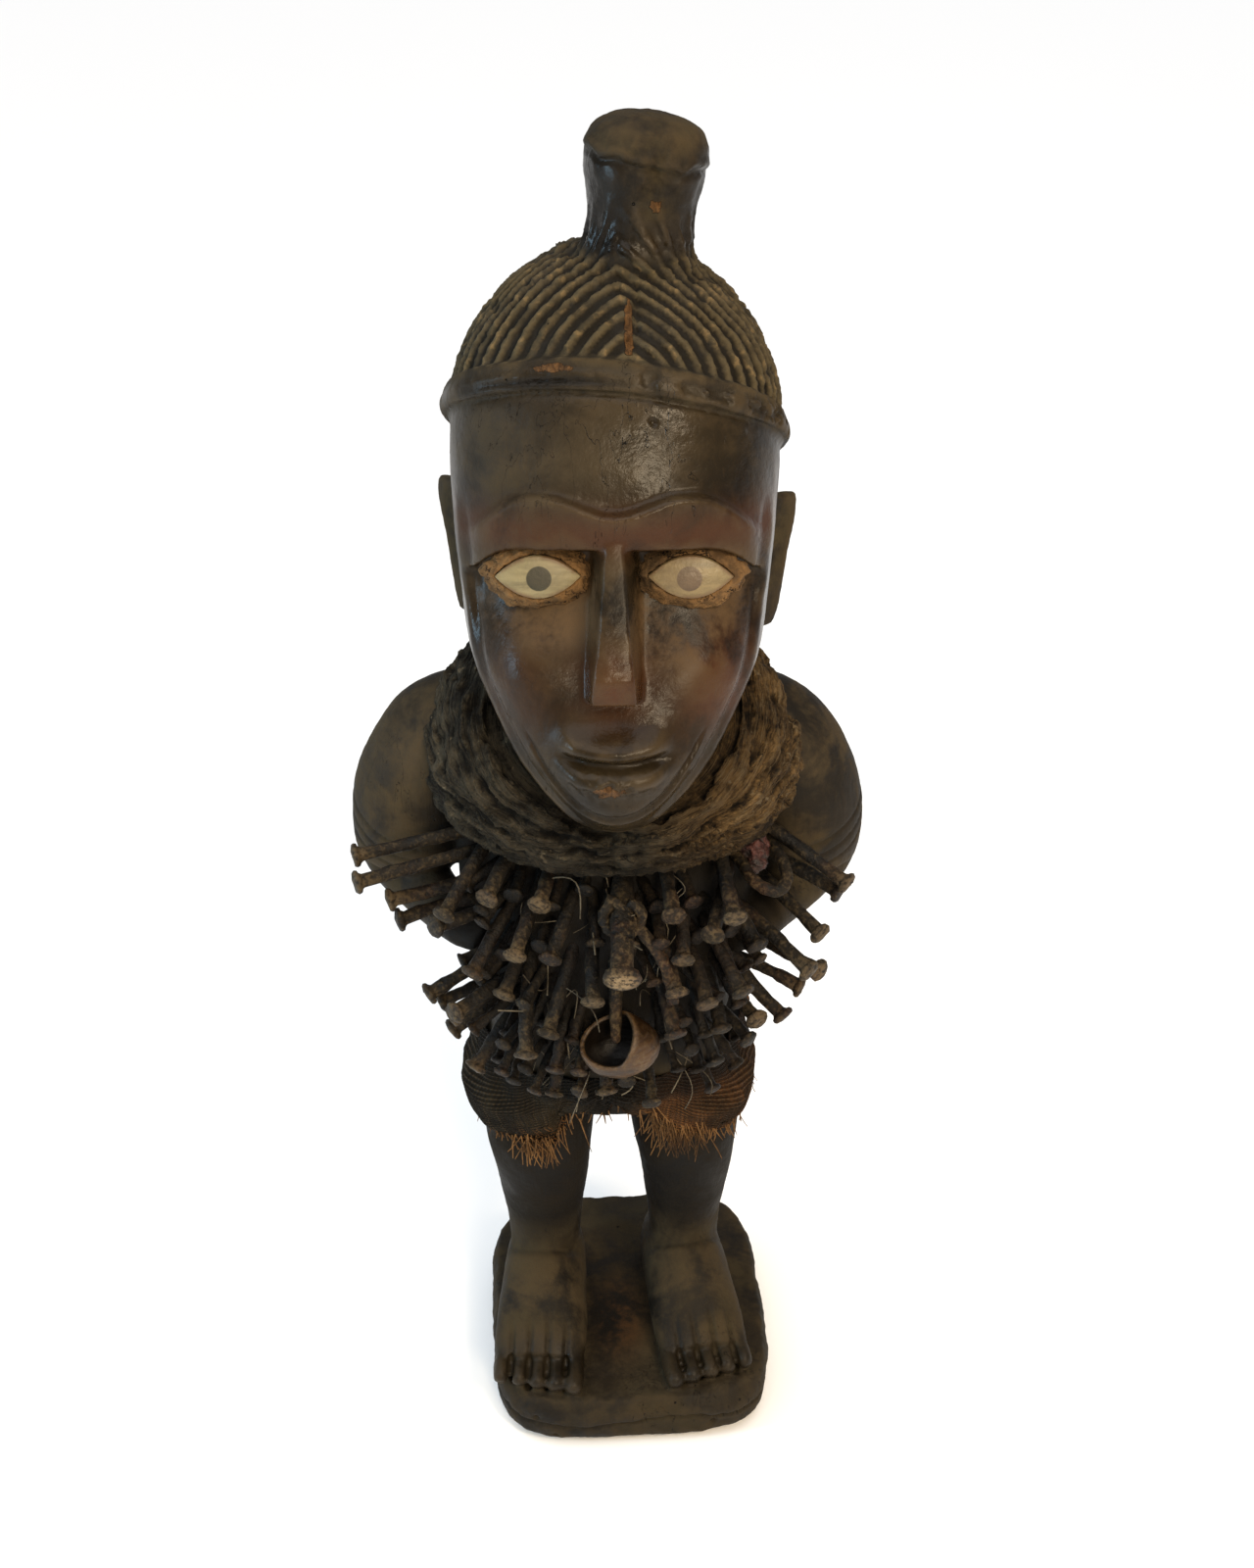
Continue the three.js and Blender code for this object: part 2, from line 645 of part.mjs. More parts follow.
// A ring that hangs on the big nail
function loopSolid() {
  const ahead = aim(bigNail.yaw, bigNail.droop);
  const slack = loop.radius - loop.thick - nail.shank * bigNail.size * 1.1 - 3 * gap;
  const [x, z] = bigNail.root;
  const place = new THREE.Vector3(x, trunkFront(x, z), z - slack).addScaledVector(ahead, loop.along);
  const ring = new THREE.TorusGeometry(loop.radius, loop.thick, 5, 10)
    .rotateX(radians(90 - loop.tilt))
    .rotateZ(radians(loop.turn));
  return solid(ring.translate(...place.toArray()));
}

// A bent iron with both ends in the chest
function hoopSolid() {
  const { place, wide, reach, drop, yaw, thick } = hoop;
  const ahead = aim(yaw, 0);
  const side = new THREE.Vector3(0, 0, 1).cross(ahead).normalize();
  const points = [];
  for (let i = -3; i <= 3; i++) {
    const [out, across, down] = [[1, 0, 1.3], [0.85, 0.8, 1], [0.5, 1, 0.4], [-0.22, 1, 0]][Math.abs(i)];
    const point = new THREE.Vector3(...place).addScaledVector(ahead, reach * out);
    point.addScaledVector(side, -Math.sign(i) * wide * across).z -= drop * down;
    points.push(point.toArray());
  }
  return rod(points, thick);
}

// A snail shell, open at its mouth
function shellSolid() {
  const { long, wide, wall, facing, place, stretch } = shell;
  const arc = (across, along) => {
    const points = [];
    for (let i = 0; i <= 4; i++) {
      const angle = (i / 4) * Math.PI * 0.62;
      points.push(new THREE.Vector2(across * Math.sin(angle), -along * Math.cos(angle)));
    }
    return points;
  };
  const profile = [...arc(wide, long), ...arc(wide - wall, long - wall).reverse()];
  const opening = new THREE.Vector3(...facing).normalize();
  const turn = new THREE.Quaternion().setFromUnitVectors(new THREE.Vector3(0, 1, 0), opening);
  const cup = new THREE.LatheGeometry(profile, 10).scale(stretch, 1, 1).applyQuaternion(turn);
  return solid(cup.translate(...place));
}

// A headless iron that tapers to the mouth of the shell
function pegSolid() {
  const profile = [[0, peg.thick], [peg.reach - 2, peg.tip], [peg.reach, peg.tip * 0.6]];
  return ironOn(peg.root, aim(peg.yaw, peg.droop), profile, 8);
}

// The part
const wood = body(0);
const room = body(gap);
const eyeBeds = together([eyeBed(1, gap), eyeBed(-1, gap)]);
const figure = together([
  wood,
  plinthSolid(),
  ...feet.map(footSolid),
  skull(),
  noseSolid(),
  ear(1),
  ear(-1),
  topknotSolid(),
]).subtract(eyeBeds);

const collar = largest(wrapSolid().subtract(room).subtract(plainHead(wrap.jawRoom)));
const waistcloth = largest(clothSolid().subtract(room));
const hoopIron = largest(hoopSolid().subtract(room));
const snailShell = largest(shellSolid().subtract(room));
const inTheWay = [wood, collar, waistcloth, hoopIron, snailShell];

drive(bigNail.root, bigNail.yaw, bigNail.droop, bigNail.reach, bigNail.size);
// The loop hangs a little below the big nail, and the later nails leave it room.
taken.push(roomAround([bigNail.root[0], -50 - loop.along, bigNail.root[1] - 10], loop.radius + 3));
driveAll();

const part = new THREE.Group();

function put(name, manifold, finish) {
  const [color, roughness, metalness] = finishes[finish];
  const material = new THREE.MeshStandardMaterial({ color, roughness, metalness, flatShading: true });
  const mesh = new THREE.Mesh(geometryOf(manifold), material);
  mesh.name = name;
  part.add(mesh);
}

put("carved_figure", figure, "wood");
for (const [name, side] of [["left", -1], ["right", 1]]) {
  put("eye_" + name, eyeAlmond(side, 0).intersect(eyeFront(side)), "glaze");
  put("eye_clay_" + name, eyeBed(side, 0).subtract(eyeAlmond(side, gap)), "clay");
}
put("neck_wrap", collar, "cord");
put("hip_cloth", waistcloth, "raffia");
put("iron_loop", loopSolid(), "iron");
put("iron_hoop", hoopIron, "iron");
put("iron_peg", pegSolid(), "iron");
put("snail_shell", snailShell, "shell");
nails.forEach((driven, i) => put(i ? "nail_" + String(i).padStart(2, "0") : "nail_big", driven, "iron"));

export default part;
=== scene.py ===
import math
import random

import bmesh
import bpy
import numpy as np
from mathutils import Matrix, Vector, noise


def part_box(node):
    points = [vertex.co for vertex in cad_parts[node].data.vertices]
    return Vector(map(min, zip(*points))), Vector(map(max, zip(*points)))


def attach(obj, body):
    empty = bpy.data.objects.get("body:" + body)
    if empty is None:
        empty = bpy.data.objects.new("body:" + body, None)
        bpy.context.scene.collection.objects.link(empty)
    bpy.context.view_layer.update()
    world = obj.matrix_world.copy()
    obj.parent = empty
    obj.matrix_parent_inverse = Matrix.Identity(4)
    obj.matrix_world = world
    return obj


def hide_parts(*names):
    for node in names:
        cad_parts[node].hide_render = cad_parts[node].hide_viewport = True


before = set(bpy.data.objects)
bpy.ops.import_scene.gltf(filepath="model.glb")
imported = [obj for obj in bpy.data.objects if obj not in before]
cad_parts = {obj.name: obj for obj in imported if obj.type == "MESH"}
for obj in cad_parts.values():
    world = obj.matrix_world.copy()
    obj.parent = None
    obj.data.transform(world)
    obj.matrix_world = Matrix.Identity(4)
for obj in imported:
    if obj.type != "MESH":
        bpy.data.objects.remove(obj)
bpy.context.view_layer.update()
mm = 0.001


# Camera, light and floor

view = dict(place=(0, -0.750, 0.800), down=31.1, width=36, pixels=1977.6, height=1600)
light = dict(room=0.38, sky=2.15, skySpread=70, skyFrom=(-0.5, -0.2, 3), floor=12)
lamps = [  # name, place, looks at, size, watts, colour
    ("windowLeft", (-1.3, -0.45, 0.60), (0, 0, 0.5), (0.12, 0.5), 9, (0.50, 0.78, 1.0)),
    ("keyRight", (0.7, -1.1, 1.45), (0, 0, 0.45), (0.35, 0.35), 18, (1.0, 0.80, 0.56)),
    ("lampAhead", (0.30, -1.22, 0.84), (0, 0, 0.5), (0.24, 0.26), 9, (1.0, 0.82, 0.58)),
]


def show(name, data):
    shown = bpy.data.objects.new(name, data)
    bpy.context.scene.collection.objects.link(shown)
    return shown


def makeCamera():
    data = bpy.data.cameras.new("photoCamera")
    data.sensor_width = view["width"]
    data.lens = view["width"] * view["pixels"] / view["height"]
    camera = show("photoCamera", data)
    camera.location = view["place"]
    camera.rotation_euler = (math.radians(90 - view["down"]), 0, 0)
    bpy.context.scene.camera = camera


def aimLamp(name, data, place, target):
    lamp = show(name, data)
    lamp.location = place
    lamp.rotation_euler = (Vector(target) - Vector(place)).to_track_quat("-Z", "Y").to_euler()


def makeLight():
    scene = bpy.context.scene
    scene.world = bpy.data.worlds.new("studio")
    scene.world.use_nodes = True
    room = scene.world.node_tree.nodes["Background"].inputs
    room["Color"].default_value = (1, 1, 1, 1)
    room["Strength"].default_value = light["room"]
    for name, place, target, size, watts, colour in lamps:
        data = bpy.data.lights.new(name, "AREA")
        data.shape = "RECTANGLE"
        data.size, data.size_y = size
        data.energy = watts
        data.color = colour
        aimLamp(name, data, place, target)
    data = bpy.data.lights.new("skylight", "SUN")
    data.energy = light["sky"]
    data.angle = math.radians(light["skySpread"])
    aimLamp("skylight", data, light["skyFrom"], (0, 0, 0))
    scene.view_settings.view_transform = "Standard"


def makeFloor():
    bm = bmesh.new()
    bmesh.ops.create_grid(bm, x_segments=1, y_segments=1, size=light["floor"])
    mesh = bpy.data.meshes.new("floor")
    bm.to_mesh(mesh)
    bm.free()
    mesh.materials.append(floorLook())
    show("floor", mesh)


# Shader nodes

class Wire:  # a socket that takes part in sums
    def __init__(self, look, socket):
        self.look = look
        self.socket = socket

    def __add__(self, other):
        return self.look.sum("ADD", self, other)

    def __sub__(self, other):
        return self.look.sum("SUBTRACT", self, other)

    def __rsub__(self, other):
        return self.look.sum("SUBTRACT", other, self)

    def __mul__(self, other):
        return self.look.sum("MULTIPLY", self, other)

    def __abs__(self):
        return self.look.sum("ABSOLUTE", self)

    __radd__ = __add__
    __rmul__ = __mul__


class Look:  # a material and its nodes
    def __init__(self, name):
        self.material = bpy.data.materials.new(name)
        self.material.use_nodes = True
        self.tree = self.material.node_tree
        self.place = self.node("TexCoord", out="Object")

    def node(self, kind, sockets=None, out=0, **settings):
        made = self.tree.nodes.new("ShaderNode" + kind)
        for name, value in settings.items():
            setattr(made, name, value)
        self.feed(made, sockets or {})
        return Wire(self, made.outputs[out])

    def feed(self, node, sockets):
        for name, value in sockets.items():
            if isinstance(value, Wire):
                self.tree.links.new(value.socket, node.inputs[name])
            else:
                node.inputs[name].default_value = value

    def sum(self, operation, *values):
        return self.node("Math", dict(enumerate(values)), operation=operation)

    def cloud(self, scale, detail=4, rough=0.55, warp=0, stretch=None, place=None):
        place = place or self.place
        if stretch:
            place = self.node("Mapping", {"Vector": place, "Scale": stretch})
        return self.node("TexNoise", {"Vector": place, "Scale": scale, "Detail": detail, "Roughness": rough,
                                      "Distortion": warp})

    def ramp(self, value, low, high, start=0, end=1):
        sockets = {"Value": value, "From Min": low, "From Max": high, "To Min": start, "To Max": end}
        return self.node("MapRange", sockets, interpolation_type="SMOOTHSTEP")

    def mix(self, share, a, b):
        a, b = [(*c, 1) if isinstance(c, tuple) else c for c in (a, b)]
        return self.node("Mix", {0: share, 6: a, 7: b}, out=2, data_type="RGBA")

    def layers(self, base, *coats):  # a coat is how much of it shows, and its colour
        for share, colour in coats:
            base = self.mix(share, base, colour)
        return base

    def marks(self, *names):  # what writeMarks has left on the mesh
        return [self.node("Attribute", out="Fac", attribute_name=name) for name in names]

    def finish(self, colour, roughness, height=None, depth=0, specular=0.5, metallic=0):
        sockets = {"Base Color": colour, "Roughness": roughness, "Metallic": metallic}
        sockets["Specular IOR Level"] = specular
        if height:
            sockets["Normal"] = self.node("Bump", {"Height": height, "Distance": depth, "Strength": 1})
        self.feed(self.tree.nodes["Principled BSDF"], sockets)
        return self.material


# Shapes

def smoothAt(rows, at):  # a smooth reading between rows that start with their key
    rows = np.array(rows, float)
    keys = rows[:, 0]
    slopes = np.gradient(rows, keys, axis=0)
    at = np.clip(at, keys[0], keys[-1])
    low = np.clip(np.searchsorted(keys, at, side="right") - 1, 0, len(keys) - 2)
    span = (keys[low + 1] - keys[low])[..., None]
    t = (at - keys[low])[..., None] / span
    a, b = rows[low], rows[low + 1]
    bend = (t**3 - 2 * t**2 + t) * span * slopes[low] + (t**3 - t**2) * span * slopes[low + 1]
    return ((2 * t**3 - 3 * t**2 + 1) * a + (3 * t**2 - 2 * t**3) * b + bend)[..., 1:]


def step(value, low, high):
    t = np.clip((value - low) / (high - low), 0, 1)
    return t * t * (3 - 2 * t)


def window(value, low, full, end, high):  # 1 from full to end, and 0 outside low and high
    return step(value, low, full) * step(value, high, end)


def hill(value, width):
    return np.exp(-((value / width) ** 2))


def power(value, exponent):
    return np.sign(value) * np.abs(value) ** exponent


def unit(vectors):
    return vectors / np.maximum(np.linalg.norm(vectors, axis=-1, keepdims=True), 1e-9)


def turned(a, b, degrees):
    c, s = math.cos(math.radians(degrees)), math.sin(math.radians(degrees))
    return a * c - b * s, a * s + b * c


def columns(*values):
    return np.stack(np.broadcast_arrays(*values), axis=-1).astype(float)


def roughness(points, size, detail, seed):
    shift = Vector((seed * 7.3, seed * 3.1, seed * 5.7))
    return np.array([noise.fractal(Vector(p) / size + shift, 0.9, 2.0, detail) for p in points.tolist()])


def readAll(items, name, each, kind=np.float32):
    flat = np.empty(len(items) * each, kind)
    items.foreach_get(name, flat)
    return flat.reshape(-1, each)


def readPoints(mesh):
    return readAll(mesh.vertices, "co", 3).astype(float)


def readNormals(mesh):
    return readAll(mesh.vertex_normals, "vector", 3).astype(float)


def writePoints(mesh, points):
    mesh.vertices.foreach_set("co", points.astype(np.float32).ravel())
    mesh.update()


def writeMarks(mesh, top=1, **marks):
    for name, values in marks.items():
        mark = mesh.attributes.new(name, "FLOAT", "POINT")
        mark.data.foreach_set("value", np.clip(values, 0, top).astype(np.float32))


def toMetres(bm):
    bmesh.ops.scale(bm, vec=(mm, mm, mm), verts=bm.verts)


def addSkin(bm, place, rows, sides, poles=True):
    # a grid bent round into a closed skin: place turns shares along and around into points, in millimetres
    sheet = bmesh.new()
    bmesh.ops.create_grid(sheet, x_segments=sides, y_segments=rows, size=0.5)
    shares = np.array([v.co for v in sheet.verts]) + 0.5
    along, around = shares[:, 1], shares[:, 0]
    points = np.array(place(along, around))
    for end in (0, 1) if poles else ():
        cap = np.abs(along - end) < 1e-6
        points[cap] = points[cap].mean(axis=0)
    for vert, point in zip(sheet.verts, points):
        vert.co = point
    bmesh.ops.remove_doubles(sheet, verts=sheet.verts, dist=1e-4)
    addMesh(bm, sheet)


def addMesh(bm, part):
    mesh = bpy.data.meshes.new("part")
    part.to_mesh(mesh)
    part.free()
    bm.from_mesh(mesh)
    bpy.data.meshes.remove(mesh)


def finishPiece(name, bm, look, nodes=()):
    mesh = bpy.data.meshes.new(name)
    bm.to_mesh(mesh)
    bm.free()
    return dress(show(name, mesh), look, nodes)


def dress(piece, look, nodes=()):
    piece.data.materials.clear()
    piece.data.materials.append(look)
    for face in piece.data.polygons:
        face.use_smooth = True
    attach(piece, "root")
    if nodes:
        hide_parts(*nodes)
    return piece


def baked(piece, kind, **settings):  # the mesh with a modifier applied
    modifier = piece.modifiers.new(kind.lower(), kind)
    for name, value in settings.items():
        setattr(modifier, name, value)
    bpy.context.view_layer.update()
    graph = bpy.context.evaluated_depsgraph_get()
    mesh = bpy.data.meshes.new_from_object(piece.evaluated_get(graph))
    piece.modifiers.clear()
    old = piece.data
    piece.data = mesh
    bpy.data.meshes.remove(old)
    return mesh


def remeshed(piece, voxel):
    return baked(piece, "REMESH", mode="VOXEL", voxel_size=voxel * mm)


def thinned(piece, triangles):
    return baked(piece, "DECIMATE", ratio=min(1, triangles / (len(piece.data.polygons) * 2)))


def tubes(name, strands, sides):  # strands: lists of (point, radius), in millimetres
    curve = bpy.data.curves.new(name, "CURVE")
    curve.dimensions = "3D"
    curve.bevel_depth = 1
    curve.bevel_resolution = sides
    curve.use_fill_caps = True
    for strand in strands:
        spline = curve.splines.new("POLY")
        spline.points.add(len(strand) - 1)
        for point, (place, radius) in zip(spline.points, strand):
            point.co = (*[c * mm for c in place], 1)
            point.radius = radius * mm
    piece = show(name, curve)
    mesh = bpy.data.meshes.new_from_object(piece)
    bpy.data.objects.remove(piece)
    bpy.data.curves.remove(curve)
    return mesh


# The carved figure: a head frame that leans back, a trunk, arms, legs, feet and plinth

head = dict(place=(-5, 6, 461), lean=12, chin=-106, hairline=80, crown=126, reach=64)
headRows = [  # height, half width, front, back, how square the front is
    [-106, 8, -62, -46, 2], [-101, 17, -70, -36, 2.1], [-91, 28, -76, -16, 2.3], [-76, 41, -77, 6, 2.5],
    [-58, 51.5, -75, 30, 2.7], [-38, 60, -72, 48, 2.9], [-12, 64, -71, 60, 3], [20, 67, -72, 67, 2.7],
    [50, 68, -71, 68, 2.4], [76, 65, -64, 64, 2.3], [98, 54, -49, 56, 2.2], [114, 38, -31, 44, 2.1],
    [126, 17, -7, 24, 2],
]
band = dict(wide=6, proud=4.4, fall=22, cant=5)
hair = dict(pitch=5.7, slant=0.68, proud=2.0, parting=6, middle=30)
third = (head["hairline"] - band["wide"] - head["chin"]) / 3  # hairline, brow, foot of the nose, chin
brow = dict(fallBack=0.6, lower=head["chin"] + 2 * third, tall=22, dip=7, drop=20, reach=60, proud=6)
nose = dict(foot=head["chin"] + third, facet=12, proud=18, half=12)
eye = dict(line=brow["lower"] - 11, apart=30, half=17, lift=8.5, hollow=11, depth=-57, rim=6)
mouth = dict(line=nose["foot"] - third * 0.4, half=23, smile=3, lip=5)


def intoHead(points):
    x, y, z = points.T
    return columns(x, *turned(y, z, -head["lean"])) + np.array(head["place"])


def fromHead(points):
    x, y, z = (points - np.array(head["place"])).T
    return columns(x, *turned(y, z, head["lean"]))


def hairlineAt(turn):
    behind = head["reach"] * (1 + np.cos(turn))
    across = head["reach"] * np.sin(turn)
    fall, cant = math.tan(math.radians(band["fall"])), math.tan(math.radians(band["cant"]))
    return head["hairline"] - behind * fall - across * cant


def browUpper(x):
    out = np.abs(x) / brow["reach"]
    dip = brow["dip"] * (1 - step(out, 0, 0.45))
    return brow["lower"] + brow["tall"] - dip - brow["drop"] * step(out, 0.5, 1.1) ** 1.3


def faceRelief(x, z):  # how far the face stands out of the plain head
    side = np.abs(x)
    onFace = 1 - step(side, brow["reach"] - 8, brow["reach"] + 2)
    lowerEdge = brow["lower"] - 14 * step(side, 30, 64) ** 2
    upperEdge = browUpper(x)
    down = np.clip((upperEdge - z) / (upperEdge - lowerEdge), 0, 1)
    ridge = brow["proud"] * step(z, lowerEdge - 1, lowerEdge)
    ridge = ridge * (1 - step(z, upperEdge - 1.6, upperEdge + 1.2))
    ridge = ridge * (1 - brow["fallBack"] * step(down, 0.12, 1)) + 0.8 * hill(z - upperEdge + 2.2, 1.4)
    socket = eye["hollow"] * (1 - step(z, lowerEdge - 1, lowerEdge + 0.5))
    socket = socket * step(z, nose["foot"] + 2, eye["line"]) * step(side, 2, 7)
    cheek = 4 * hill(side - 36, 16) * hill(z - nose["foot"] - 12, 18)
    muzzle = 8 * hill(side, 27) * hill(z - mouth["line"] + 2, 19)
    line = mouth["line"] + mouth["smile"] * (side / mouth["half"]) ** 2
    width = 1 - step(side, mouth["half"] - 8, mouth["half"] + 3)
    lips = mouth["lip"] * width * (hill(z - line - 6, 5) + hill(z - line + 7, 5))
    parted = mouth["lip"] * width * hill(z - line, 2.2)
    chin = 3 * hill(side, 15) * hill(z - head["chin"] - 15, 8)
    return (ridge - socket) * onFace + cheek + muzzle + lips - parted + chin


def hairAt(x, y, z):  # strokes that curve down from a parting to both sides
    ahead, up = y - hair["middle"], z - 62
    alongTop = np.arctan2(np.maximum(up, 1), np.abs(ahead)) * 60 - 11
    aside = np.arctan2(np.abs(x - hair["parting"] * step(up, 64, 20)), np.hypot(up, ahead)) * 60
    place = columns(x, y, z)
    wave = np.hypot(0.6 * aside, alongTop) + hair["slant"] * aside + 1.0 * roughness(place, 30, 2, seed=3)
    worn = 0.5 + 0.5 * step(roughness(place, 10, 2, seed=8), -0.45, -0.1)
    return step(np.cos(2 * np.pi * wave / hair["pitch"]), -0.3, 0.7) * worn


def skullAt(along, around):
    turn = 2 * np.pi * around
    turn = turn + 0.42 * np.sin(turn)
    facing = -np.cos(turn)
    z = head["chin"] + (head["crown"] - head["chin"]) * along
    half, front, back, square = smoothAt(headRows, z).T
    over = z - hairlineAt(turn)
    roll = band["proud"] * np.sqrt(np.clip(1 - (over / band["wide"]) ** 2, 0, 1))
    exponent = np.where(facing > 0, 2 / square, 1)
    x = (half + roll) * power(np.sin(turn), exponent)
    y = (front + back) / 2 - ((back - front) / 2 + roll) * power(facing, exponent)
    y = y - faceRelief(x, z) * step(facing, 0.1, 0.5) * (over < -band["wide"])
    return intoHead(columns(x, y, z))


def noseAt(along, around):
    foot, facet, half, proud = nose["foot"], nose["facet"], nose["half"], nose["proud"]
    cuts = np.array([
        [foot, half - 3, half + 2, proud - 5], [foot + facet, half - 4, half + 1, proud],
        [foot + facet + 16, half - 6, half, proud - 4], [brow["lower"] + 5, half - 9, half - 3, proud - 15],
    ])
    z = foot + (cuts[-1, 0] - foot) * along
    ridge, flank, out = [np.interp(z, cuts[:, 0], cuts[:, k]) for k in (1, 2, 3)]
    across = np.clip(np.cos(2 * np.pi * around) * 1.5, -1, 1)
    ahead = (1 + np.clip(np.sin(2 * np.pi * around) * 1.5, -1, 1)) / 2
    x = (flank + (ridge - flank) * ahead) * across
    y = -58 + (-72 - out + 58) * ahead
    return intoHead(columns(x, y, z))


def earAt(side):
    rows = [[-34, 1, 5], [-30, 1, 8], [-16, 4, 10], [2, 6, 13], [16, 7, 16], [23, 6, 16], [25, 6, 14]]

    def place(along, around):
        z = -34 + 59 * along
        middle, half = smoothAt(rows, z).T
        across, thick = np.cos(2 * np.pi * around), np.sin(2 * np.pi * around)
        hollow = 2.6 * hill(np.hypot(across * half - 1, (z - 3) * 0.5), 7) * (thick > 0)
        u = middle + half * across
        w = 3.2 * power(thick, 0.6) - hollow
        height, flare = (-6, 48) if side > 0 else (1, 54)
        turn = math.radians(90 - flare)
        x = side * (63.5 + u * math.sin(turn) + w * math.cos(turn))
        y = 20 + u * math.cos(turn) - w * math.sin(turn)
        return intoHead(columns(x, y, z + height))

    return place


knot = dict(place=(4, 24, 581), lean=5, rows=[
    [-8, 27], [0, 22.8], [8, 21.3], [22, 22.2], [37, 24.5], [45, 23.6], [51.5, 17.5], [54, 10], [55, 2]])


def knotAt(along, around):
    rows = knot["rows"]
    z = rows[0][0] + (rows[-1][0] - rows[0][0]) * along
    radius = smoothAt(rows, z)[..., 0]
    turn = 2 * np.pi * around
    x, z = turned(radius * np.cos(turn), z, -knot["lean"])
    y, z = turned(radius * np.sin(turn), z, -knot["lean"])
    return columns(x, y, z) + np.array(knot["place"])


trunk = dict(middle=-9, square=2.3, rows=[
    [178, 46, -30, 38], [187, 56, -38, 50], [200, 59, -45, 54], [224, 56, -50, 40], [252, 59, -56, 29],
    [284, 65, -56, 33], [314, 68, -52, 40], [344, 68, -43, 41], [370, 60, -34, 38], [392, 44, -32, 34],
    [418, 36, -34, 32]])
plinth = dict(square=4.4, turn=4, rows=[
    [0, 65, -69, 68], [4, 69, -74.5, 72], [15, 71.5, -78, 75], [27, 71, -77, 75], [32, 68, -73, 72]])


def sectionAt(turn, half, front, back, exponent):  # round at exponent 1, squarer as it falls
    x = half * power(np.cos(turn), exponent)
    return x, (front + back) / 2 + (back - front) / 2 * power(np.sin(turn), exponent)


def stackAt(rows, square, middle=0, turn=0):
    def place(along, around):
        z = rows[0][0] + (rows[-1][0] - rows[0][0]) * along
        half, front, back = smoothAt(rows, z).T
        x, y = sectionAt(2 * np.pi * around, half, front, back, 2 / square)
        return columns(*turned(middle + x, y, turn), z)

    return place


def sweepAt(stations, side=(1, 0, 0), change=lambda points: points):
    rows = [[i, *place, half, deep] for i, (place, half, deep) in enumerate(stations)]

    def place(along, around):
        at = along * (len(rows) - 1)
        here = smoothAt(rows, at)
        ahead = unit(smoothAt(rows, at + 0.05)[:, :3] - smoothAt(rows, at - 0.05)[:, :3])
        right = unit(np.array(side) - ahead * (ahead @ np.array(side))[:, None])
        through = np.cross(ahead, right)
        turn = 2 * np.pi * around
        return change(here[:, :3] + right * (here[:, 3] * np.cos(turn))[:, None]
                      + through * (here[:, 4] * np.sin(turn))[:, None])

    return place


arm = [  # place, half width, half depth, from the shoulder to the hand
    [(-26, 6, 384), 18, 20], [(-66, 7, 371), 28, 29], [(-82, 8, 348), 30, 31], [(-89, 9, 324), 28, 29],
    [(-92, 12, 304), 22, 23], [(-87, 0, 296), 15, 15], [(-76, -16, 294), 12.5, 12.5],
    [(-63, -31, 293), 14, 9], [(-50, -44, 294), 11, 6],
]
leg = [
    [(0, 12, 214), 27, 34], [(-1, 8, 184), 30, 33], [(-1, 1, 152), 27, 28], [(0, 1, 130), 24, 25],
    [(0, 8, 104), 21.5, 23], [(0, 10, 76), 18.5, 20], [(0, 10, 34), 17, 22],
]
sole = [
    [(0, 36, 43), 10, 12], [(0, 28, 46), 17, 20], [(0, 8, 50), 21, 30], [(0, -16, 46), 22.5, 26],
    [(0, -36, 41), 23.5, 16], [(0, -54, 37), 22.5, 8],
]
toe = dict(count=5, wide=9.3, tall=6, long=18, root=-56, height=36.5)
feet = [dict(place=(-43, -4, 0), turn=-2, bigToe=1), dict(place=(30, 2, 0), turn=11, bigToe=-1)]


def addFoot(bm, foot):
    def change(points):
        x, y, z = points.T
        return columns(*turned(x, y, foot["turn"]), z) + np.array(foot["place"])

    addSkin(bm, sweepAt(sole, change=change), 60, 48)
    tall, height = toe["tall"], toe["height"]
    for i in range(toe["count"]):
        across = i - (toe["count"] - 1) / 2
        share = (1 + foot["bigToe"] * across / 2) / 2
        x, half = across * toe["wide"], toe["wide"] * (0.46 + 0.05 * share)
        tip = toe["root"] - toe["long"] * (0.45 + 0.35 * share)
        addSkin(bm, sweepAt([
            [(x * 0.9, toe["root"] + 20, height + 1), half * 0.8, tall * 0.8],
            [(x, toe["root"] + 4, height), half, tall], [(x, tip + 5, height), half, tall],
            [(x, tip + 1, height - 1), half * 0.8, tall * 0.8], [(x, tip, height - 1.5), 1, 1],
        ], change=change), 24, 16)


def spread(values, edges, rounds):  # each point takes the mean of its neighbours
    count = np.bincount(edges.ravel(), minlength=len(values))[:, None]
    for _ in range(rounds):
        total = np.zeros_like(values)
        np.add.at(total, edges[:, 0], values[edges[:, 1]])
        np.add.at(total, edges[:, 1], values[edges[:, 0]])
        values = total / np.maximum(count, 1)
    return values


carving = dict(voxel=1.1, triangles=192000, rounds=8, bodyFrom=0.05, bodyTo=0.40)  # the last two in metres


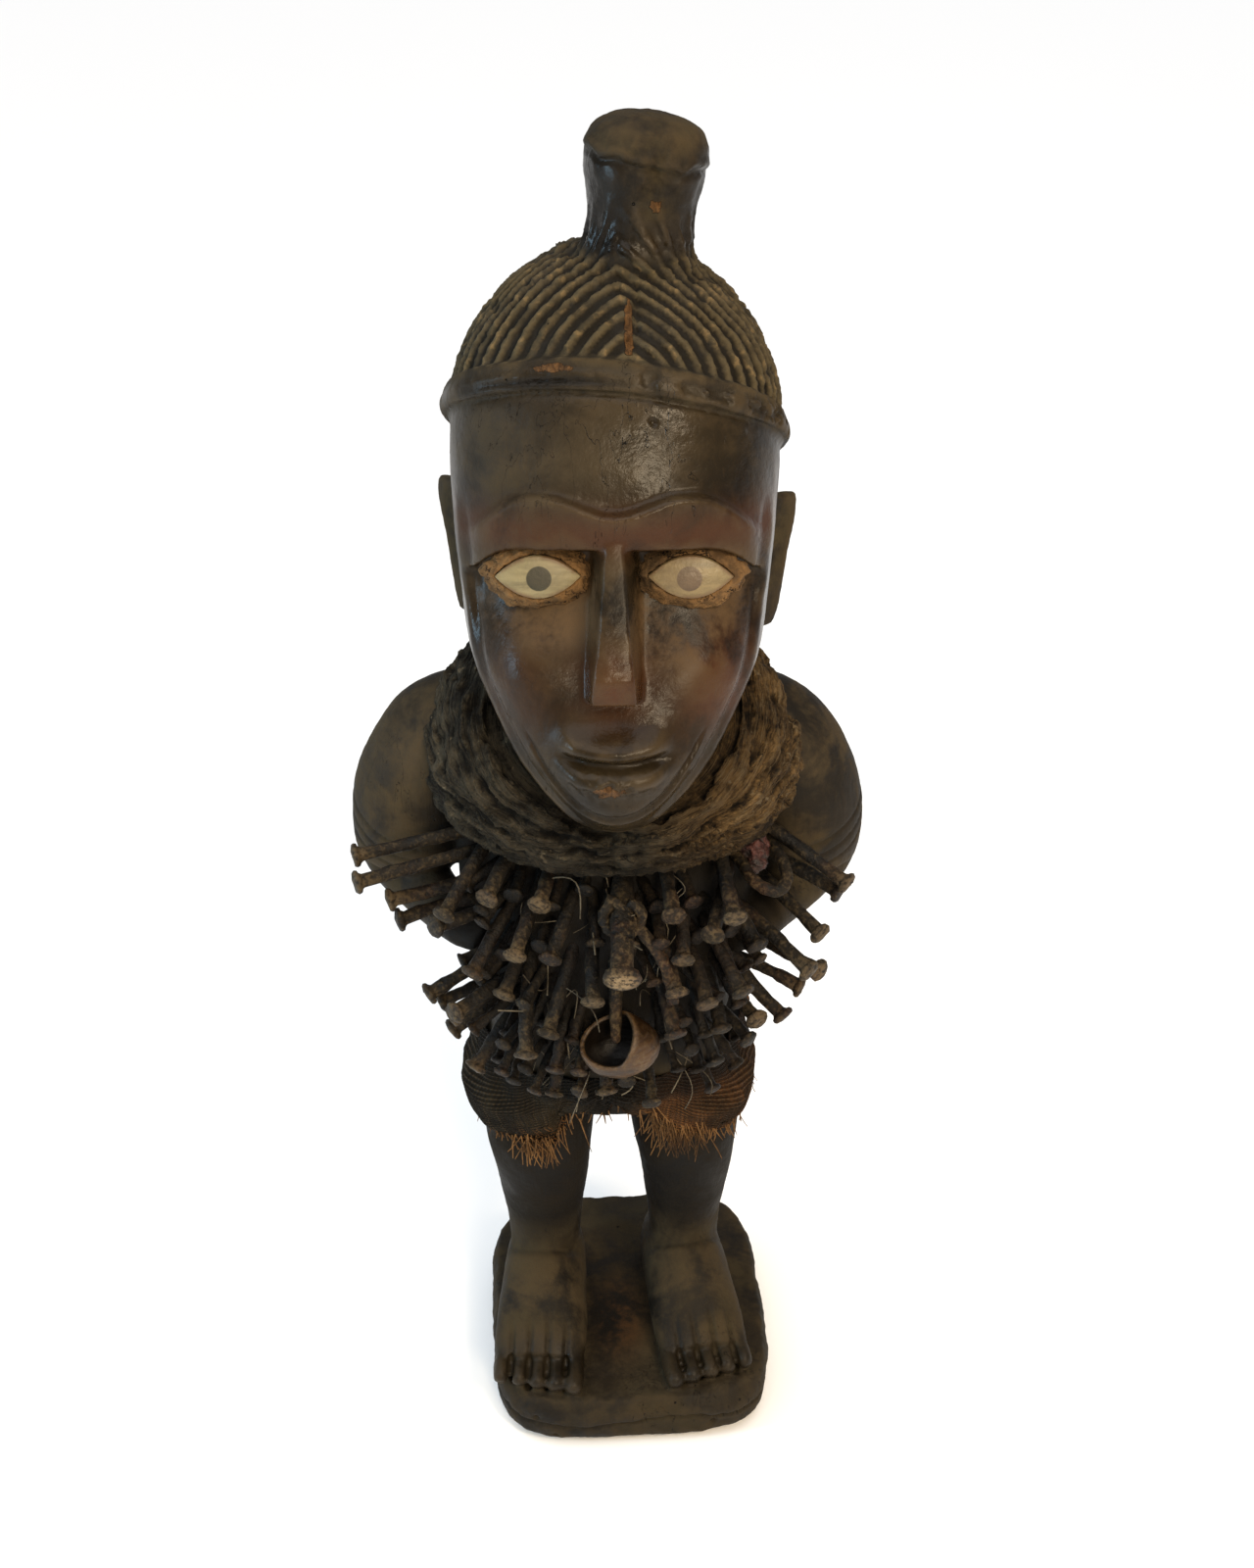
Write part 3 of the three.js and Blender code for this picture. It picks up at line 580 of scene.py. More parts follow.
def carveFigure(look):
    bm = bmesh.new()
    addSkin(bm, skullAt, 240, 260)
    addSkin(bm, noseAt, 60, 64)
    for side in (-1, 1):
        addSkin(bm, earAt(side), 40, 40)
        stations = [[(trunk["middle"] + side * x, y, z), half, deep] for (x, y, z), half, deep in arm]
        addSkin(bm, sweepAt(stations, side=(0, 1, 0)), 90, 60)
    addSkin(bm, knotAt, 60, 60)
    addSkin(bm, stackAt(trunk["rows"], trunk["square"], trunk["middle"]), 90, 90)
    addSkin(bm, stackAt(plinth["rows"], plinth["square"], 0, plinth["turn"]), 24, 180)
    for foot in feet:
        px, py, _ = foot["place"]
        addSkin(bm, sweepAt([[(px + x, py + y, z), half, deep] for (x, y, z), half, deep in leg]), 80, 60)
        addFoot(bm, foot)
    toMetres(bm)
    figure = finishPiece("carvedFigure", bm, look, ["carved_figure"])
    mesh = remeshed(figure, carving["voxel"])
    print("figure remeshed", len(mesh.polygons))
    bm = bmesh.new()
    bm.from_mesh(mesh)
    body = [v for v in bm.verts if carving["bodyFrom"] < v.co.z < carving["bodyTo"]]
    for i in range(carving["rounds"]):  # the head and the plinth stay crisper than the body
        bmesh.ops.smooth_vert(bm, verts=body if i else bm.verts, factor=0.5,
                              use_axis_x=True, use_axis_y=True, use_axis_z=True)
    bm.to_mesh(mesh)
    bm.free()
    reliefOf(mesh)
    mesh = thinned(figure, carving["triangles"])
    print("figure thinned", len(mesh.polygons))
    markFigure(mesh)
    dress(figure, look)


relief = dict(  # how far it stands out or goes in, in millimetres
    lumps=0.35, grit=0.12, crust=0.5, parting=2.0, bandEdge=1.6, underBand=1.2, chips=2.8, splinters=2.0,
    nick=2.5, rim=0.9, chinLine=1.1, chinPits=2.2, armRing=0.8, knotWear=2.8, knotLedge=1.3, toeGap=2.0,
    shin=2.2, crack=1.6, wormHole=2.5, plinthWear=0.6)
wormHoles = ((-46, 20), (-36, 8), (24, 6), (44, 14))  # x and height on the front of the plinth


def placesOf(points):  # on the figure, the head and the top knot, and the height over the hairline
    hx, hy, hz = fromHead(points).T
    onKnot = (points - np.array(knot["place"])).T
    return points.T, (hx, hy, hz), onKnot, hz - hairlineAt(np.arctan2(hx, hy))


def strokesOn(hx, hy, hz, inHair):
    strokes = np.zeros(len(hx))
    strokes[inHair] = hairAt(hx[inHair], hy[inHair], hz[inHair])
    return strokes


def reliefOf(mesh):
    points, normals = readPoints(mesh) / mm, readNormals(mesh)
    (x, y, z), (hx, hy, hz), (kx, ky, kz), over = placesOf(points)

    def rough(size, detail, seed):
        return roughness(points, size, detail, seed)

    push = relief["lumps"] * rough(22, 2, 1) + relief["grit"] * rough(5, 2, 2)
    strokes = strokesOn(hx, hy, hz, (over > band["wide"] - 1) & (hz < 150) & (hz > -20))
    inHair = step(over, band["wide"] - 1, band["wide"] + 3) * step(hz, 146, 124)
    push += (hair["proud"] * (strokes - 0.5) + relief["crust"] * rough(2.4, 2, 19)) * inHair
    push -= relief["parting"] * hill(hx - 8.6, 1.0) * window(over, 14, 18, 30, 38) * (hy < -20)
    # the band stands crisply off the hair and the forehead, and is chipped at the front
    front, onBand = hy < -20, np.clip(1 - (over / band["wide"]) ** 2, 0, 1)
    crisp = relief["bandEdge"] * hill(over - 4.4, 1.2) - relief["underBand"] * hill(over + 6.8, 0.9)
    push += crisp * (hz > 0)
    broken = hill((hx + 27) / 20, 1) ** 0.5 * front
    push -= (relief["chips"] * hill(over + 2.2, 1.8) - 0.8 * rough(4, 3, 15) * onBand) * broken
    push -= relief["splinters"] * step(rough(8, 3, 16), 0.0, 0.25) * step(hx, 4, 14) * onBand * front
    push -= relief["nick"] * hill(np.hypot(hx - 15, over + 15), 1.2) * front
    # rims down both sides of the face, and a cut line round the mouth and chin
    rim = np.abs(hx) - (smoothAt(headRows, hz)[..., 0] - 4.5)
    beside = step(hy, -8, -24) * window(hz, head["chin"], head["chin"] + 14, 20, 34)
    push += relief["rim"] * (hill(rim, 1.5) - hill(rim + 3.2, 1.3)) * beside
    fold = hz - (head["chin"] + 12 + 34 * (hx / 36) ** 2)
    cut = 0.7 * hill(fold + 2.2, 1.5) - relief["chinLine"] * hill(fold, 1.1)
    push += cut * step(hy, -30, -50) * step(np.abs(hx), 38, 33)
    chin = hill(hx + 2, 11) * hill(hz - mouth["line"] + 9, 5) * front
    push -= relief["chinPits"] * step(rough(4, 2, 4), -0.1, 0.3) * chin
    # incised rings low on both upper arms
    upper = (z > 296) & (z < 376) & (np.abs(x - trunk["middle"]) > 84)
    for k in range(3):
        cut = z - 316 - 8 * k - 0.35 * (y + 10) - 0.3 * (np.abs(x - trunk["middle"]) - 100)
        push -= relief["armRing"] * hill(cut, 0.9) * upper
    # the worn hollow down the front of the top knot, under the shoulder of its dome
    fromKnot = np.hypot(kx, ky)
    onKnot = step(kz, -4, 4) * step(fromKnot, 60, 40)
    worn = hill(kx - 6.5, 8) * step(ky, 4, -10) * hill(kz - 32, 13)
    push += onKnot * ((0.4 + 1.8 * worn) * rough(6, 4, 5) - relief["knotWear"] * worn)
    ledge = kz - 40 - 3 * rough(14, 2, 9) + 0.18 * kx
    ledge = hill(ledge - 1.8, 1.8) - hill(ledge + 1.6, 1.6)
    push += onKnot * relief["knotLedge"] * ledge * step(ky, 8, -6)
    push += 1.3 * hill(kz + 2, 6) * rough(4, 3, 17) * step(fromKnot, 44, 34)
    # grooves between the long toes, and the crease where the shin meets the foot
    for foot in feet:
        fx, fy = turned(x - foot["place"][0], y - foot["place"][1], -foot["turn"])
        for k in range(1, toe["count"]):
            groove = hill(fx - (k - toe["count"] / 2) * toe["wide"], 1.15) * step(fy, -36, -50) * (fy > -64)
            push -= relief["toeGap"] * groove * (z > 30) * (z < 62)
        shin = (np.hypot(fx / 19.5, (fy - 10) / 21) - 1) * 20
        crease = hill(shin - 1.2, 2.0) * hill(z - 71, 11) * step(fy, 6, -4) * (np.abs(fx) < 30)
        push -= relief["shin"] * crease
    # cracks, worm holes and worn edges of the plinth
    low = step(z, 38, 28)
    crack = z - 17 - 2.0 * np.sin(x * 0.05) - 2.2 * rough(16, 3, 6)
    push -= relief["crack"] * low * hill(crack, 0.8) * step(y, -40, -60)
    for holeX, holeZ in wormHoles:
        push -= relief["wormHole"] * hill(np.hypot(x - holeX, z - holeZ), 1.6) * (y < -50)
    push += low * (relief["plinthWear"] * rough(10, 4, 7) - 0.5 * step(rough(20, 2, 18), 0.1, 0.4))
    moved = points + normals * push[:, None]
    moved[:, 2] = np.maximum(moved[:, 2], 0)
    writePoints(mesh, moved * mm)


def markHollows(mesh, rounds, deep):  # where the surface lies below or above its surroundings
    points, edges = readPoints(mesh) / mm, readAll(mesh.edges, "vertices", 2, np.int32)
    hollow = np.einsum("ij,ij->i", spread(points, edges, rounds) - points, readNormals(mesh))
    hollow = spread(hollow[:, None], edges, 1)[:, 0]
    writeMarks(mesh, hollow=step(hollow, 0.04 * deep, deep), edge=step(-hollow, 0.1 * deep, 1.1 * deep))
    return points


def markFigure(mesh):
    points = markHollows(mesh, 5, 0.45)
    (x, y, z), (hx, hy, hz), (kx, ky, kz), over = placesOf(points)
    front = step(hy, -10, -24)
    broken = hill((hx + 27) / 20, 1) ** 0.5 * front
    bare = [hill(hx + 24, 13) * hill(over - 2.5, 2.2) * front,
            hill(hx - 5.6, 2.2) * window(over, 6, 9, 22, 34) * front,
            0.8 * hill(hx + 3, 10) * hill(hz - mouth["line"] + 10, 4.5) * (hy < -60),
            0.7 * hill(np.hypot(kx - 7, kz - 24), 3.5) * (ky < 0)]
    face = step(over, -4, -9) * step(hy, 10, -30) * step(z, 350, 372)
    face = face * step(hz, head["chin"] - 5, head["chin"] + 5)
    worn = hill(kx - 7, 9) * step(ky, 4, -10) * step(kz, 12, 22)
    column = window(kz, 0, 8, 38, 46) * step(np.hypot(kx, ky), 60, 40)
    roll = np.clip(1 - ((over + 1) / band["wide"]) ** 2, 0, 1) * front * step(hz, 20, 40)
    duller = 1 - 0.75 * hill(np.hypot((hx + 38) / 26, (hz - 50) / 34), 1)
    toes = step(y, -44, -58) * step(z, 64, 58)
    inHair = step(over, 5, 7) * step(kz, 6, 0)
    cheeks = hill(np.abs(hx) - 42, 16) * hill(hz - nose["foot"] - 6, 22) * step(hx, -110, 30)
    noseEnd = hill(hx, 14) * hill(hz - nose["foot"] - 8, 16)
    tall = 20 + 8 * (hx > 0)  # the clay has run further down at the right
    aroundEye = np.hypot((np.abs(hx) - eye["apart"] + 3) / 30, (hz - eye["line"] + 10) / tall)
    # painted shade behind the nails, on the legs and between the feet; darker plinth sides and toes; black knot
    # column and band
    soot = [window(z, 205, 235, 350, 372) * step(np.abs(x - trunk["middle"]), 86, 70),
            0.95 * step(z, 68, 104) * (z < 215),
            0.45 * hill(x + 8, 16) * step(z, 40, 30) * step(y, -66, -30),
            0.35 * step(z, 33, 29), 0.45 * toes * (z > 32),
            0.8 * column * (1 - 0.8 * hill(kx - 7, 11)), 0.9 * broken * hill(over + 2.5, 2.2)]
    writeMarks(
        mesh, bare=np.maximum.reduce(bare),
        polish=np.maximum.reduce([face * duller, column * (1 - worn), 0.8 * roll, 0.7 * toes * (z > 34)]),
        hair=inHair, stroke=strokesOn(hx, hy, hz, inHair > 0),
        red=(cheeks + noseEnd + 0.7 * hill(hz - brow["lower"] - 7, 10)) * face,
        soot=np.maximum.reduce(soot),
        clayDust=step(aroundEye, 1.25, 0.6) * (hz < brow["lower"]) * (hy < -20) * step(np.abs(hx), 4, 9),
        ochre=hill(np.hypot((x + 4) / 11, (y + 22) / 22), 1) * step(z, 40, 30))


# Materials

def woodLook():
    look = Look("carvedWood")
    broad, patch, fine = look.cloud(9, 3), look.cloud(34, 5, 0.6, 0.4), look.cloud(260, 4, 0.6)
    grain = look.cloud(60, 5, 0.6, 0.6, stretch=(9, 9, 0.5))
    hollow, edge, bare, stroke, polish, hairy, soot, red, ochre, clayDust = look.marks(
        "hollow", "edge", "bare", "stroke", "polish", "hair", "soot", "red", "ochre", "clayDust")
    dull = 1 - polish
    dusty = look.ramp(patch + fine * 0.45, 0.6, 0.95) * dull * 0.7
    dusty = dusty + hollow * look.ramp(fine, 0.35, 0.6) * 0.2 * dull
    silt = clayDust * look.ramp(patch + fine * 0.5, 0.58, 0.95)
    torn = look.ramp(bare + (fine - 0.5) * 0.8 + (patch - 0.5) * 0.9, 0.5, 0.62)
    pits = look.node("TexVoronoi", {"Vector": look.place, "Scale": 85}, out="Distance")
    pit = look.ramp(pits, 0.03, 0.07, 1, 0) * look.ramp(look.cloud(14, 2), 0.55, 0.62)
    split = look.ramp(abs(look.cloud(26, 4, 0.6, 0.3, stretch=(3, 3, 0.7)) - 0.5), 0, 0.0035, 1, 0)
    split = split * look.ramp(broad, 0.54, 0.62) * (1 - hairy)
    crust = look.ramp(fine * 0.7 + look.cloud(90, 4) * 0.6, 0.68, 0.84)
    # dust and painted highlight on the ridges of the hair strokes, painted shade in the grooves between them
    locks = look.layers(
        (0.0075, 0.0058, 0.0034),
        (stroke * look.ramp(fine + patch * 0.6, 0.4, 0.85), (0.062, 0.047, 0.024)),
        (stroke * crust, (0.13, 0.088, 0.040)))
    base = look.layers(
        (0.0055, 0.0040, 0.0022),
        (look.ramp(patch, 0.35, 0.7), (0.021, 0.0145, 0.0070)),
        (look.ramp(broad, 0.42, 0.62) * 0.5, (0.028, 0.019, 0.0085)),
        (red * look.ramp(patch, 0.25, 0.55), (0.046, 0.0145, 0.0040)),
        (look.ramp(grain, 0.5, 0.8) * 0.3, (0.036, 0.022, 0.0095)),
        (dusty, (0.042, 0.032, 0.0165)),
        (edge * look.ramp(patch, 0.4, 0.6) * 0.4, (0.060, 0.040, 0.019)),
        (hairy, locks),
        # painted shade behind the nails, on the legs and between the feet, with the black of the knot's column
        # and the band
        (soot * 0.9, (0.0026, 0.0020, 0.0014)),
        (ochre * look.ramp(patch + fine * 0.4, 0.55, 0.85), (0.060, 0.026, 0.008)),
        (silt * 0.9, (0.072, 0.042, 0.018)),
        (torn, look.mix(look.ramp(grain, 0.3, 0.7), (0.032, 0.016, 0.006), (0.105, 0.052, 0.019))),
        (pit + split * 0.7, (0.003, 0.002, 0.0015)))
    worn = look.ramp(look.cloud(16, 4, 0.6), 0.35, 0.7)
    rough = look.ramp(worn + fine * 0.3, 0.1, 1.2, 0.25, 0.43) * polish
    rough = rough + look.ramp(patch, 0.3, 0.7, 0.6, 0.85) * dull + dusty * 0.2 + torn * 0.25 + silt * 0.3
    height = fine * 0.3 + grain * 0.3 * dull + patch * 0.8 - pit * 1.2 - split + torn * grain * 1.8
    return look.finish(base, rough, height, 0.0009, specular=0.14)


def ironLook():
    look = Look("forgedIron")
    patch, fine, stain = look.cloud(70, 5, 0.65), look.cloud(420, 4, 0.65), look.cloud(24, 3)
    sooted, dust = look.marks("sooted", "dust")
    base = look.layers(
        (0.0036, 0.0027, 0.0016),
        (look.ramp(patch, 0.38, 0.62), (0.0135, 0.0094, 0.0048)),
        (look.ramp(stain, 0.48, 0.66) * look.ramp(fine, 0.35, 0.6), (0.032, 0.0135, 0.0055)),
        (look.ramp(fine + patch * 0.4, 0.68, 0.86) * 0.6, (0.080, 0.056, 0.027)),
        # soot and painted shade on the nails near the trunk
        (sooted * 0.8, (0.0026, 0.0020, 0.0013)),
        (dust * look.ramp(fine, 0.35, 0.55), (0.24, 0.17, 0.092)))
    rough = look.ramp(patch, 0.3, 0.7, 0.5, 0.85)
    return look.finish(base, rough, fine * 0.6 + patch, 0.0018, specular=0.2, metallic=0.05)


def clayLook():
    look = Look("eyeClay")
    patch, fine = look.cloud(120, 5, 0.65), look.cloud(700, 4, 0.6)
    crack = look.ramp(abs(look.cloud(95, 4, 0.6) - 0.5), 0, 0.012, 1, 0)
    crack = crack * look.ramp(look.cloud(45, 2), 0.45, 0.6)
    base = look.layers(
        (0.060, 0.034, 0.0145),
        (look.ramp(patch + fine * 0.3, 0.45, 0.85), (0.165, 0.090, 0.034)),
        (look.ramp(look.cloud(60, 3), 0.52, 0.62) * 0.6, (0.03, 0.022, 0.013)),
        (crack, (0.012, 0.008, 0.005)))
    return look.finish(base, 0.9, patch + fine * 0.5 - crack, 0.0012, specular=0.15)


def eyeLook(name, white, pupil, haze, foggy):
    look = Look(name)
    patch, fine = look.cloud(110, 4, 0.6), look.cloud(500, 4, 0.6)
    streak = look.cloud(90, 4, 0.6, 0.8, stretch=(0.6, 1, 3))
    fromPupil, fog, rim = look.marks("fromPupil", "fog", "rim")
    base = look.layers(
        white,
        (look.ramp(streak + fine * 0.2, 0.4, 0.8), tuple(c * 0.62 for c in white)),
        (look.ramp(fromPupil, 0.235, 0.26, 1, 0),
         look.mix(look.ramp(patch, 0.4, 0.6), pupil, tuple(c * 0.75 for c in pupil))),
        (fog * foggy, haze),
        (rim * look.ramp(patch, 0.3, 0.6), (0.10, 0.06, 0.028)))
    return look.finish(base, look.ramp(patch, 0.3, 0.7, 0.3, 0.5), fine + patch, 0.0003, specular=0.3)


def cordLook():
    look = Look("mattedCord")
    patch, fine = look.cloud(50, 5, 0.65, 0.3), look.cloud(380, 4, 0.65)
    across, along, hollow, edge, right, red, under = look.marks(
        "acrossCords", "alongCords", "hollow", "edge", "right", "red", "under")
    run = look.node("CombineXYZ", {0: across, 1: along * 0.12, 2: patch})
    fibre = look.cloud(1.1, 4, 0.65, 0.4, place=run)
    tufts = look.ramp(patch + fine * 0.3, 0.45, 0.8)
    ochre = look.mix(tufts, (0.022, 0.0128, 0.0055), (0.130, 0.078, 0.031))
    base = look.layers(
        (0.010, 0.0082, 0.0054),
        (look.ramp(patch, 0.35, 0.65), (0.066, 0.054, 0.035)),
        (right, ochre),
        (look.ramp(fibre, 0.52, 0.66) * 0.65, look.mix(right, (0.070, 0.060, 0.042), (0.16, 0.115, 0.062))),
        # painted shade in the gaps between the fibres
        (look.ramp(fibre, 0.48, 0.36) * 0.85, (0.005, 0.004, 0.003)),
        # painted highlight on the raised edges of the cords
        (edge * look.ramp(fine, 0.35, 0.65) * 0.45, (0.12, 0.092, 0.054)),
        (look.ramp(look.cloud(130, 3), 0.67, 0.72) * 0.6, (0.20, 0.155, 0.095)),
        (red * look.ramp(patch, 0.3, 0.6), (0.20, 0.045, 0.032)),
        # painted shade on the lower front of the cords
        (under * 0.5, (0.006, 0.0048, 0.0032)),
        # painted shade in the hollows between the cords
        (hollow * 0.9, (0.004, 0.003, 0.002)))
    return look.finish(base, 0.9, patch * 0.6 + fine * 0.4 + fibre * 1.8, 0.0030, specular=0.12)


def raffiaLook(width, height):
    look = Look("raffia")
    cut = look.node("UVMap", uv_map="UVMap")
    cut = look.node("Mapping", {"Vector": cut, "Scale": (width, height, 1)})  # millimetres on the cloth
    ribs, right, frayed, soot = look.marks("ribs", "right", "frayed", "soot")
    warp = look.cloud(0.05, 3, 0.5, place=cut)
    rib = look.sum("SINE", ribs * (2 * math.pi / weave["rib"]) + warp * 3)
    across = look.node("SeparateXYZ", {0: cut})
    thread = look.sum("SINE", across * (2 * math.pi / weave["thread"]) + rib * 0.8)
    patch, fine = look.cloud(40, 5, 0.6), look.cloud(500, 4, 0.65)
    base = look.layers(
        (0.013, 0.0098, 0.0058),
        (look.ramp(patch, 0.35, 0.65), (0.044, 0.033, 0.0185)),
        (right, look.mix(look.ramp(patch, 0.4, 0.62), (0.040, 0.020, 0.008), (0.125, 0.053, 0.018))),
        (look.ramp(rib + thread * 0.5 + fine * 2, 1.0, 2.4) * 0.45, (0.085, 0.060, 0.034)),
        (frayed * look.ramp(fine + rib * 0.2, 0.35, 0.7), (0.17, 0.075, 0.024)),
        # painted shade along the top of the cloth and between its lobes
        (soot * 0.8, (0.006, 0.005, 0.004)),
        (look.ramp(rib, -0.9, -0.2, 0.6, 0), (0.006, 0.005, 0.003)))
    return look.finish(base, 0.9, rib + thread * 0.35 + fine * 0.9 + patch, 0.0011, specular=0.12)


def fibreLook(name, dark, light):
    look = Look(name)
    patch, fine = look.cloud(60, 4, 0.6), look.cloud(900, 3, 0.6)
    base = look.mix(look.ramp(patch + fine * 0.4, 0.5, 0.9), dark, light)
    return look.finish(base, 0.85, fine, 0.0003, specular=0.15)


def shellLook():
    look = Look("snailShell")
    patch, fine = look.cloud(60, 5, 0.6), look.cloud(500, 4, 0.6)
    rings = look.cloud(40, 3, 0.5, 0.3, stretch=(1, 1, 9))
    inside, rim = look.marks("inside", "rim")
    base = look.layers(
        (0.014, 0.0066, 0.0022),
        (look.ramp(patch + rings * 0.5, 0.55, 0.95), (0.056, 0.027, 0.0076)),
        (look.ramp(fine + patch * 0.5, 0.75, 0.95) * 0.4, (0.105, 0.072, 0.033)),
        # painted shade inside the shell's opening
        (inside, (0.0045, 0.0028, 0.0016)),
        (rim * look.ramp(fine, 0.3, 0.6) * 0.8, (0.085, 0.048, 0.020)))
    rough = look.ramp(patch, 0.3, 0.7, 0.35, 0.6)
    return look.finish(base, rough, rings + fine * 0.4, 0.0007, specular=0.3)


def clotLook():
    look = Look("darkClot")
    patch, fine = look.cloud(150, 5, 0.65), look.cloud(700, 4, 0.6)
    base = look.mix(look.ramp(patch + fine * 0.3, 0.5, 0.85), (0.010, 0.005, 0.004), (0.075, 0.018, 0.012))
    return look.finish(base, look.ramp(fine, 0.3, 0.7, 0.35, 0.8), patch + fine * 0.6, 0.0018)


def floorLook():
    return Look("floor").finish((0.94, 0.94, 0.94, 1), 0.9)


# Eyes, and the clay round them

ball = dict(half=27, front=13, lift=20, edge=0.22)
clay = dict(lip=1.5, sunk=3.5)


def eyeAt(side):
    def place(along, around):
        turn = 2 * np.pi * around
        back = along < ball["edge"]
        share = np.where(back, along / ball["edge"], (1 - along) / (1 - ball["edge"]))
        x = eye["half"] * np.cos(turn) * share
        z = eye["lift"] * np.sin(turn) * np.abs(np.sin(turn)) * share
        front = ball["front"] * np.sqrt(1 - (x / ball["half"]) ** 2 - (z / ball["lift"]) ** 2)
        y = np.where(back, eye["depth"] - 4, eye["depth"] - front)
        return intoHead(columns(side * eye["apart"] + x, y, eye["line"] + z))

    return place


def clayAt(side):
    def place(along, around):
        turn = 2 * np.pi * around
        share = np.minimum(along / 0.3, (1 - along) / 0.7)
        ragged = 1 + 0.04 * np.sin(5 * turn + side) + 0.03 * np.sin(11 * turn) + 0.02 * np.sin(23 * turn)
        half, tall = (eye["half"] + eye["rim"] - 0.5) * ragged, (eye["lift"] + eye["rim"] - 0.5) * ragged
        x, z = half * np.cos(turn) * share, tall * np.sin(turn) * share
        fromEye = (x / eye["half"]) ** 2 + np.abs(z - 1) / eye["lift"]
        dome = eye["hollow"] * np.sqrt(np.clip(1 - share**2, 0, 1))
        dome = dome + clay["lip"] * hill(fromEye - 1.2, 0.3) - clay["sunk"] * step(fromEye, 1.05, 0.9)
        y = eye["depth"] - np.where(along < 0.3, -dome * 0.3, dome)
        return intoHead(columns(side * eye["apart"] + x, y, eye["line"] - 1 + z))

    return place


def eyePiece(name, place, rows, look, node):
    bm = bmesh.new()
    addSkin(bm, place, rows, 96)
    bmesh.ops.recalc_face_normals(bm, faces=bm.faces)
    toMetres(bm)
    return finishPiece(name, bm, look, [node]).data


def makeEyes(looks, clayFinish):
    for side, name in ((-1, "left"), (1, "right")):
        mesh = eyePiece("eyeball_" + name, eyeAt(side), 56, looks[name], "eye_" + name)
        x, y, z = fromHead(readPoints(mesh) / mm).T
        x, z = x - side * eye["apart"], z - eye["line"]
        writeMarks(mesh, fromPupil=np.hypot(x + side * 0.6, z + 0.3) / 20,
                   fog=step(np.hypot(x + side * 4, (z - 2) * 1.3), 11, 7),
                   rim=step((x / eye["half"]) ** 2 + np.abs(z) / eye["lift"], 0.72, 1.0))
        bed = eyePiece("eyeBed_" + name, clayAt(side), 60, clayFinish, "eye_clay_" + name)
        roughen(bed, 0.6, 3, 31 + side)


# The matted cords round the neck

wrap = dict(  # where two numbers stand, they are for the front and the back
    place=(-6, -8), across=57, through=45, thick=21.5, height=(371, 392), tall=(24.5, 35.5), narrowing=0.26,
    cords=66, cordThick=3.1, sweep=0.62, fall=0.66, voxel=1.1, triangles=180000,
    rolls=((-72, 4.8, 0.5), (-50, 3.6, 1.5), (-30, 3.0, 1.0)))  # angle, thickness and lift at the lower rim


def wrapRow(turn):
    back = (1 + np.sin(turn)) / 2
    return [front + (rear - front) * back for front, rear in (wrap["height"], wrap["tall"])]


def wrapAt(turn, round, lift):
    middle, tall = wrapRow(turn)
    up = np.sin(round) * (tall + lift)
    out = np.cos(round) * (wrap["thick"] + lift) - up * wrap["narrowing"]
    return columns(wrap["place"][0] + np.cos(turn) * (wrap["across"] + out),
                   wrap["place"][1] + np.sin(turn) * (wrap["through"] + out), middle + up)


def sweepOf(share, start):  # cords run from behind each ear down to the middle of the front
    return start - (wrap["sweep"] * start + wrap["fall"]) * step(share, 0.4, 1)


def cordsAt(points):  # places across and along the cords, in millimetres
    x, y = points[:, 0] - wrap["place"][0], points[:, 1] - wrap["place"][1]
    turn = np.arctan2(y / (wrap["through"] + 15), x / (wrap["across"] + 15))
    out = np.hypot(x, y) - np.hypot(wrap["across"] * np.cos(turn), wrap["through"] * np.sin(turn))
    middle, tall = wrapRow(turn)
    up = points[:, 2] - middle
    round = np.arctan2(up / tall, (out + up * wrap["narrowing"]) / wrap["thick"])
    away = (turn - np.pi / 2 + np.pi) % (2 * np.pi) - np.pi
    share = np.abs(away) / np.pi
    swept = step(share, 0.4, 1)
    start = (round + wrap["fall"] * swept) / (1 - wrap["sweep"] * swept)
    return start * 27 + 200, share * 190 + (away > 0) * 300


def cordPaths(chance):
    paths = []
    for k in range(wrap["cords"]):
        side = 1 if k % 2 else -1
        start = math.radians(chance.uniform(-70, 95))
        first = chance.uniform(-0.05, 0.5)
        last = min(1.03, first + chance.uniform(0.4, 0.8))
        thick = wrap["cordThick"] * chance.uniform(0.6, 1.3)
        phase = chance.uniform(0, 6.28)
        path = []
        for i in range(33):
            share, end = first + (last - first) * i / 32, (abs(i - 16) / 16) ** 8
            wave = 0.13 * math.sin(share * 13 + phase)
            round = float(sweepOf(share, start)) + wave + 0.05 * math.sin(share * 37 + phase * 3)
            lift = -0.3 + 2.4 * math.sin(share * 15 + phase * 2) - 3 * end
            width = thick * (1 - 0.6 * end) * (1 + 0.3 * math.sin(share * 47 + phase))
            path.append((tuple(wrapAt(math.pi / 2 - side * math.pi * share, round, lift)), width))
        paths.append(path)
    for low, thick, lift in wrap["rolls"]:
        path = []
        for i in range(61):
            turn = math.radians(-186 + 192 * i / 60)
            round = math.radians(low + 5 * math.sin(i * 0.37 + low))
            path.append((tuple(wrapAt(turn, round, lift)), thick * (1 + 0.2 * math.sin(i * 1.1 + low))))
        paths.append(path)
    return paths


def coreAt(along, around):  # a smooth ring under the cords
    return wrapAt(2 * np.pi * around, 2 * np.pi * along, -4)


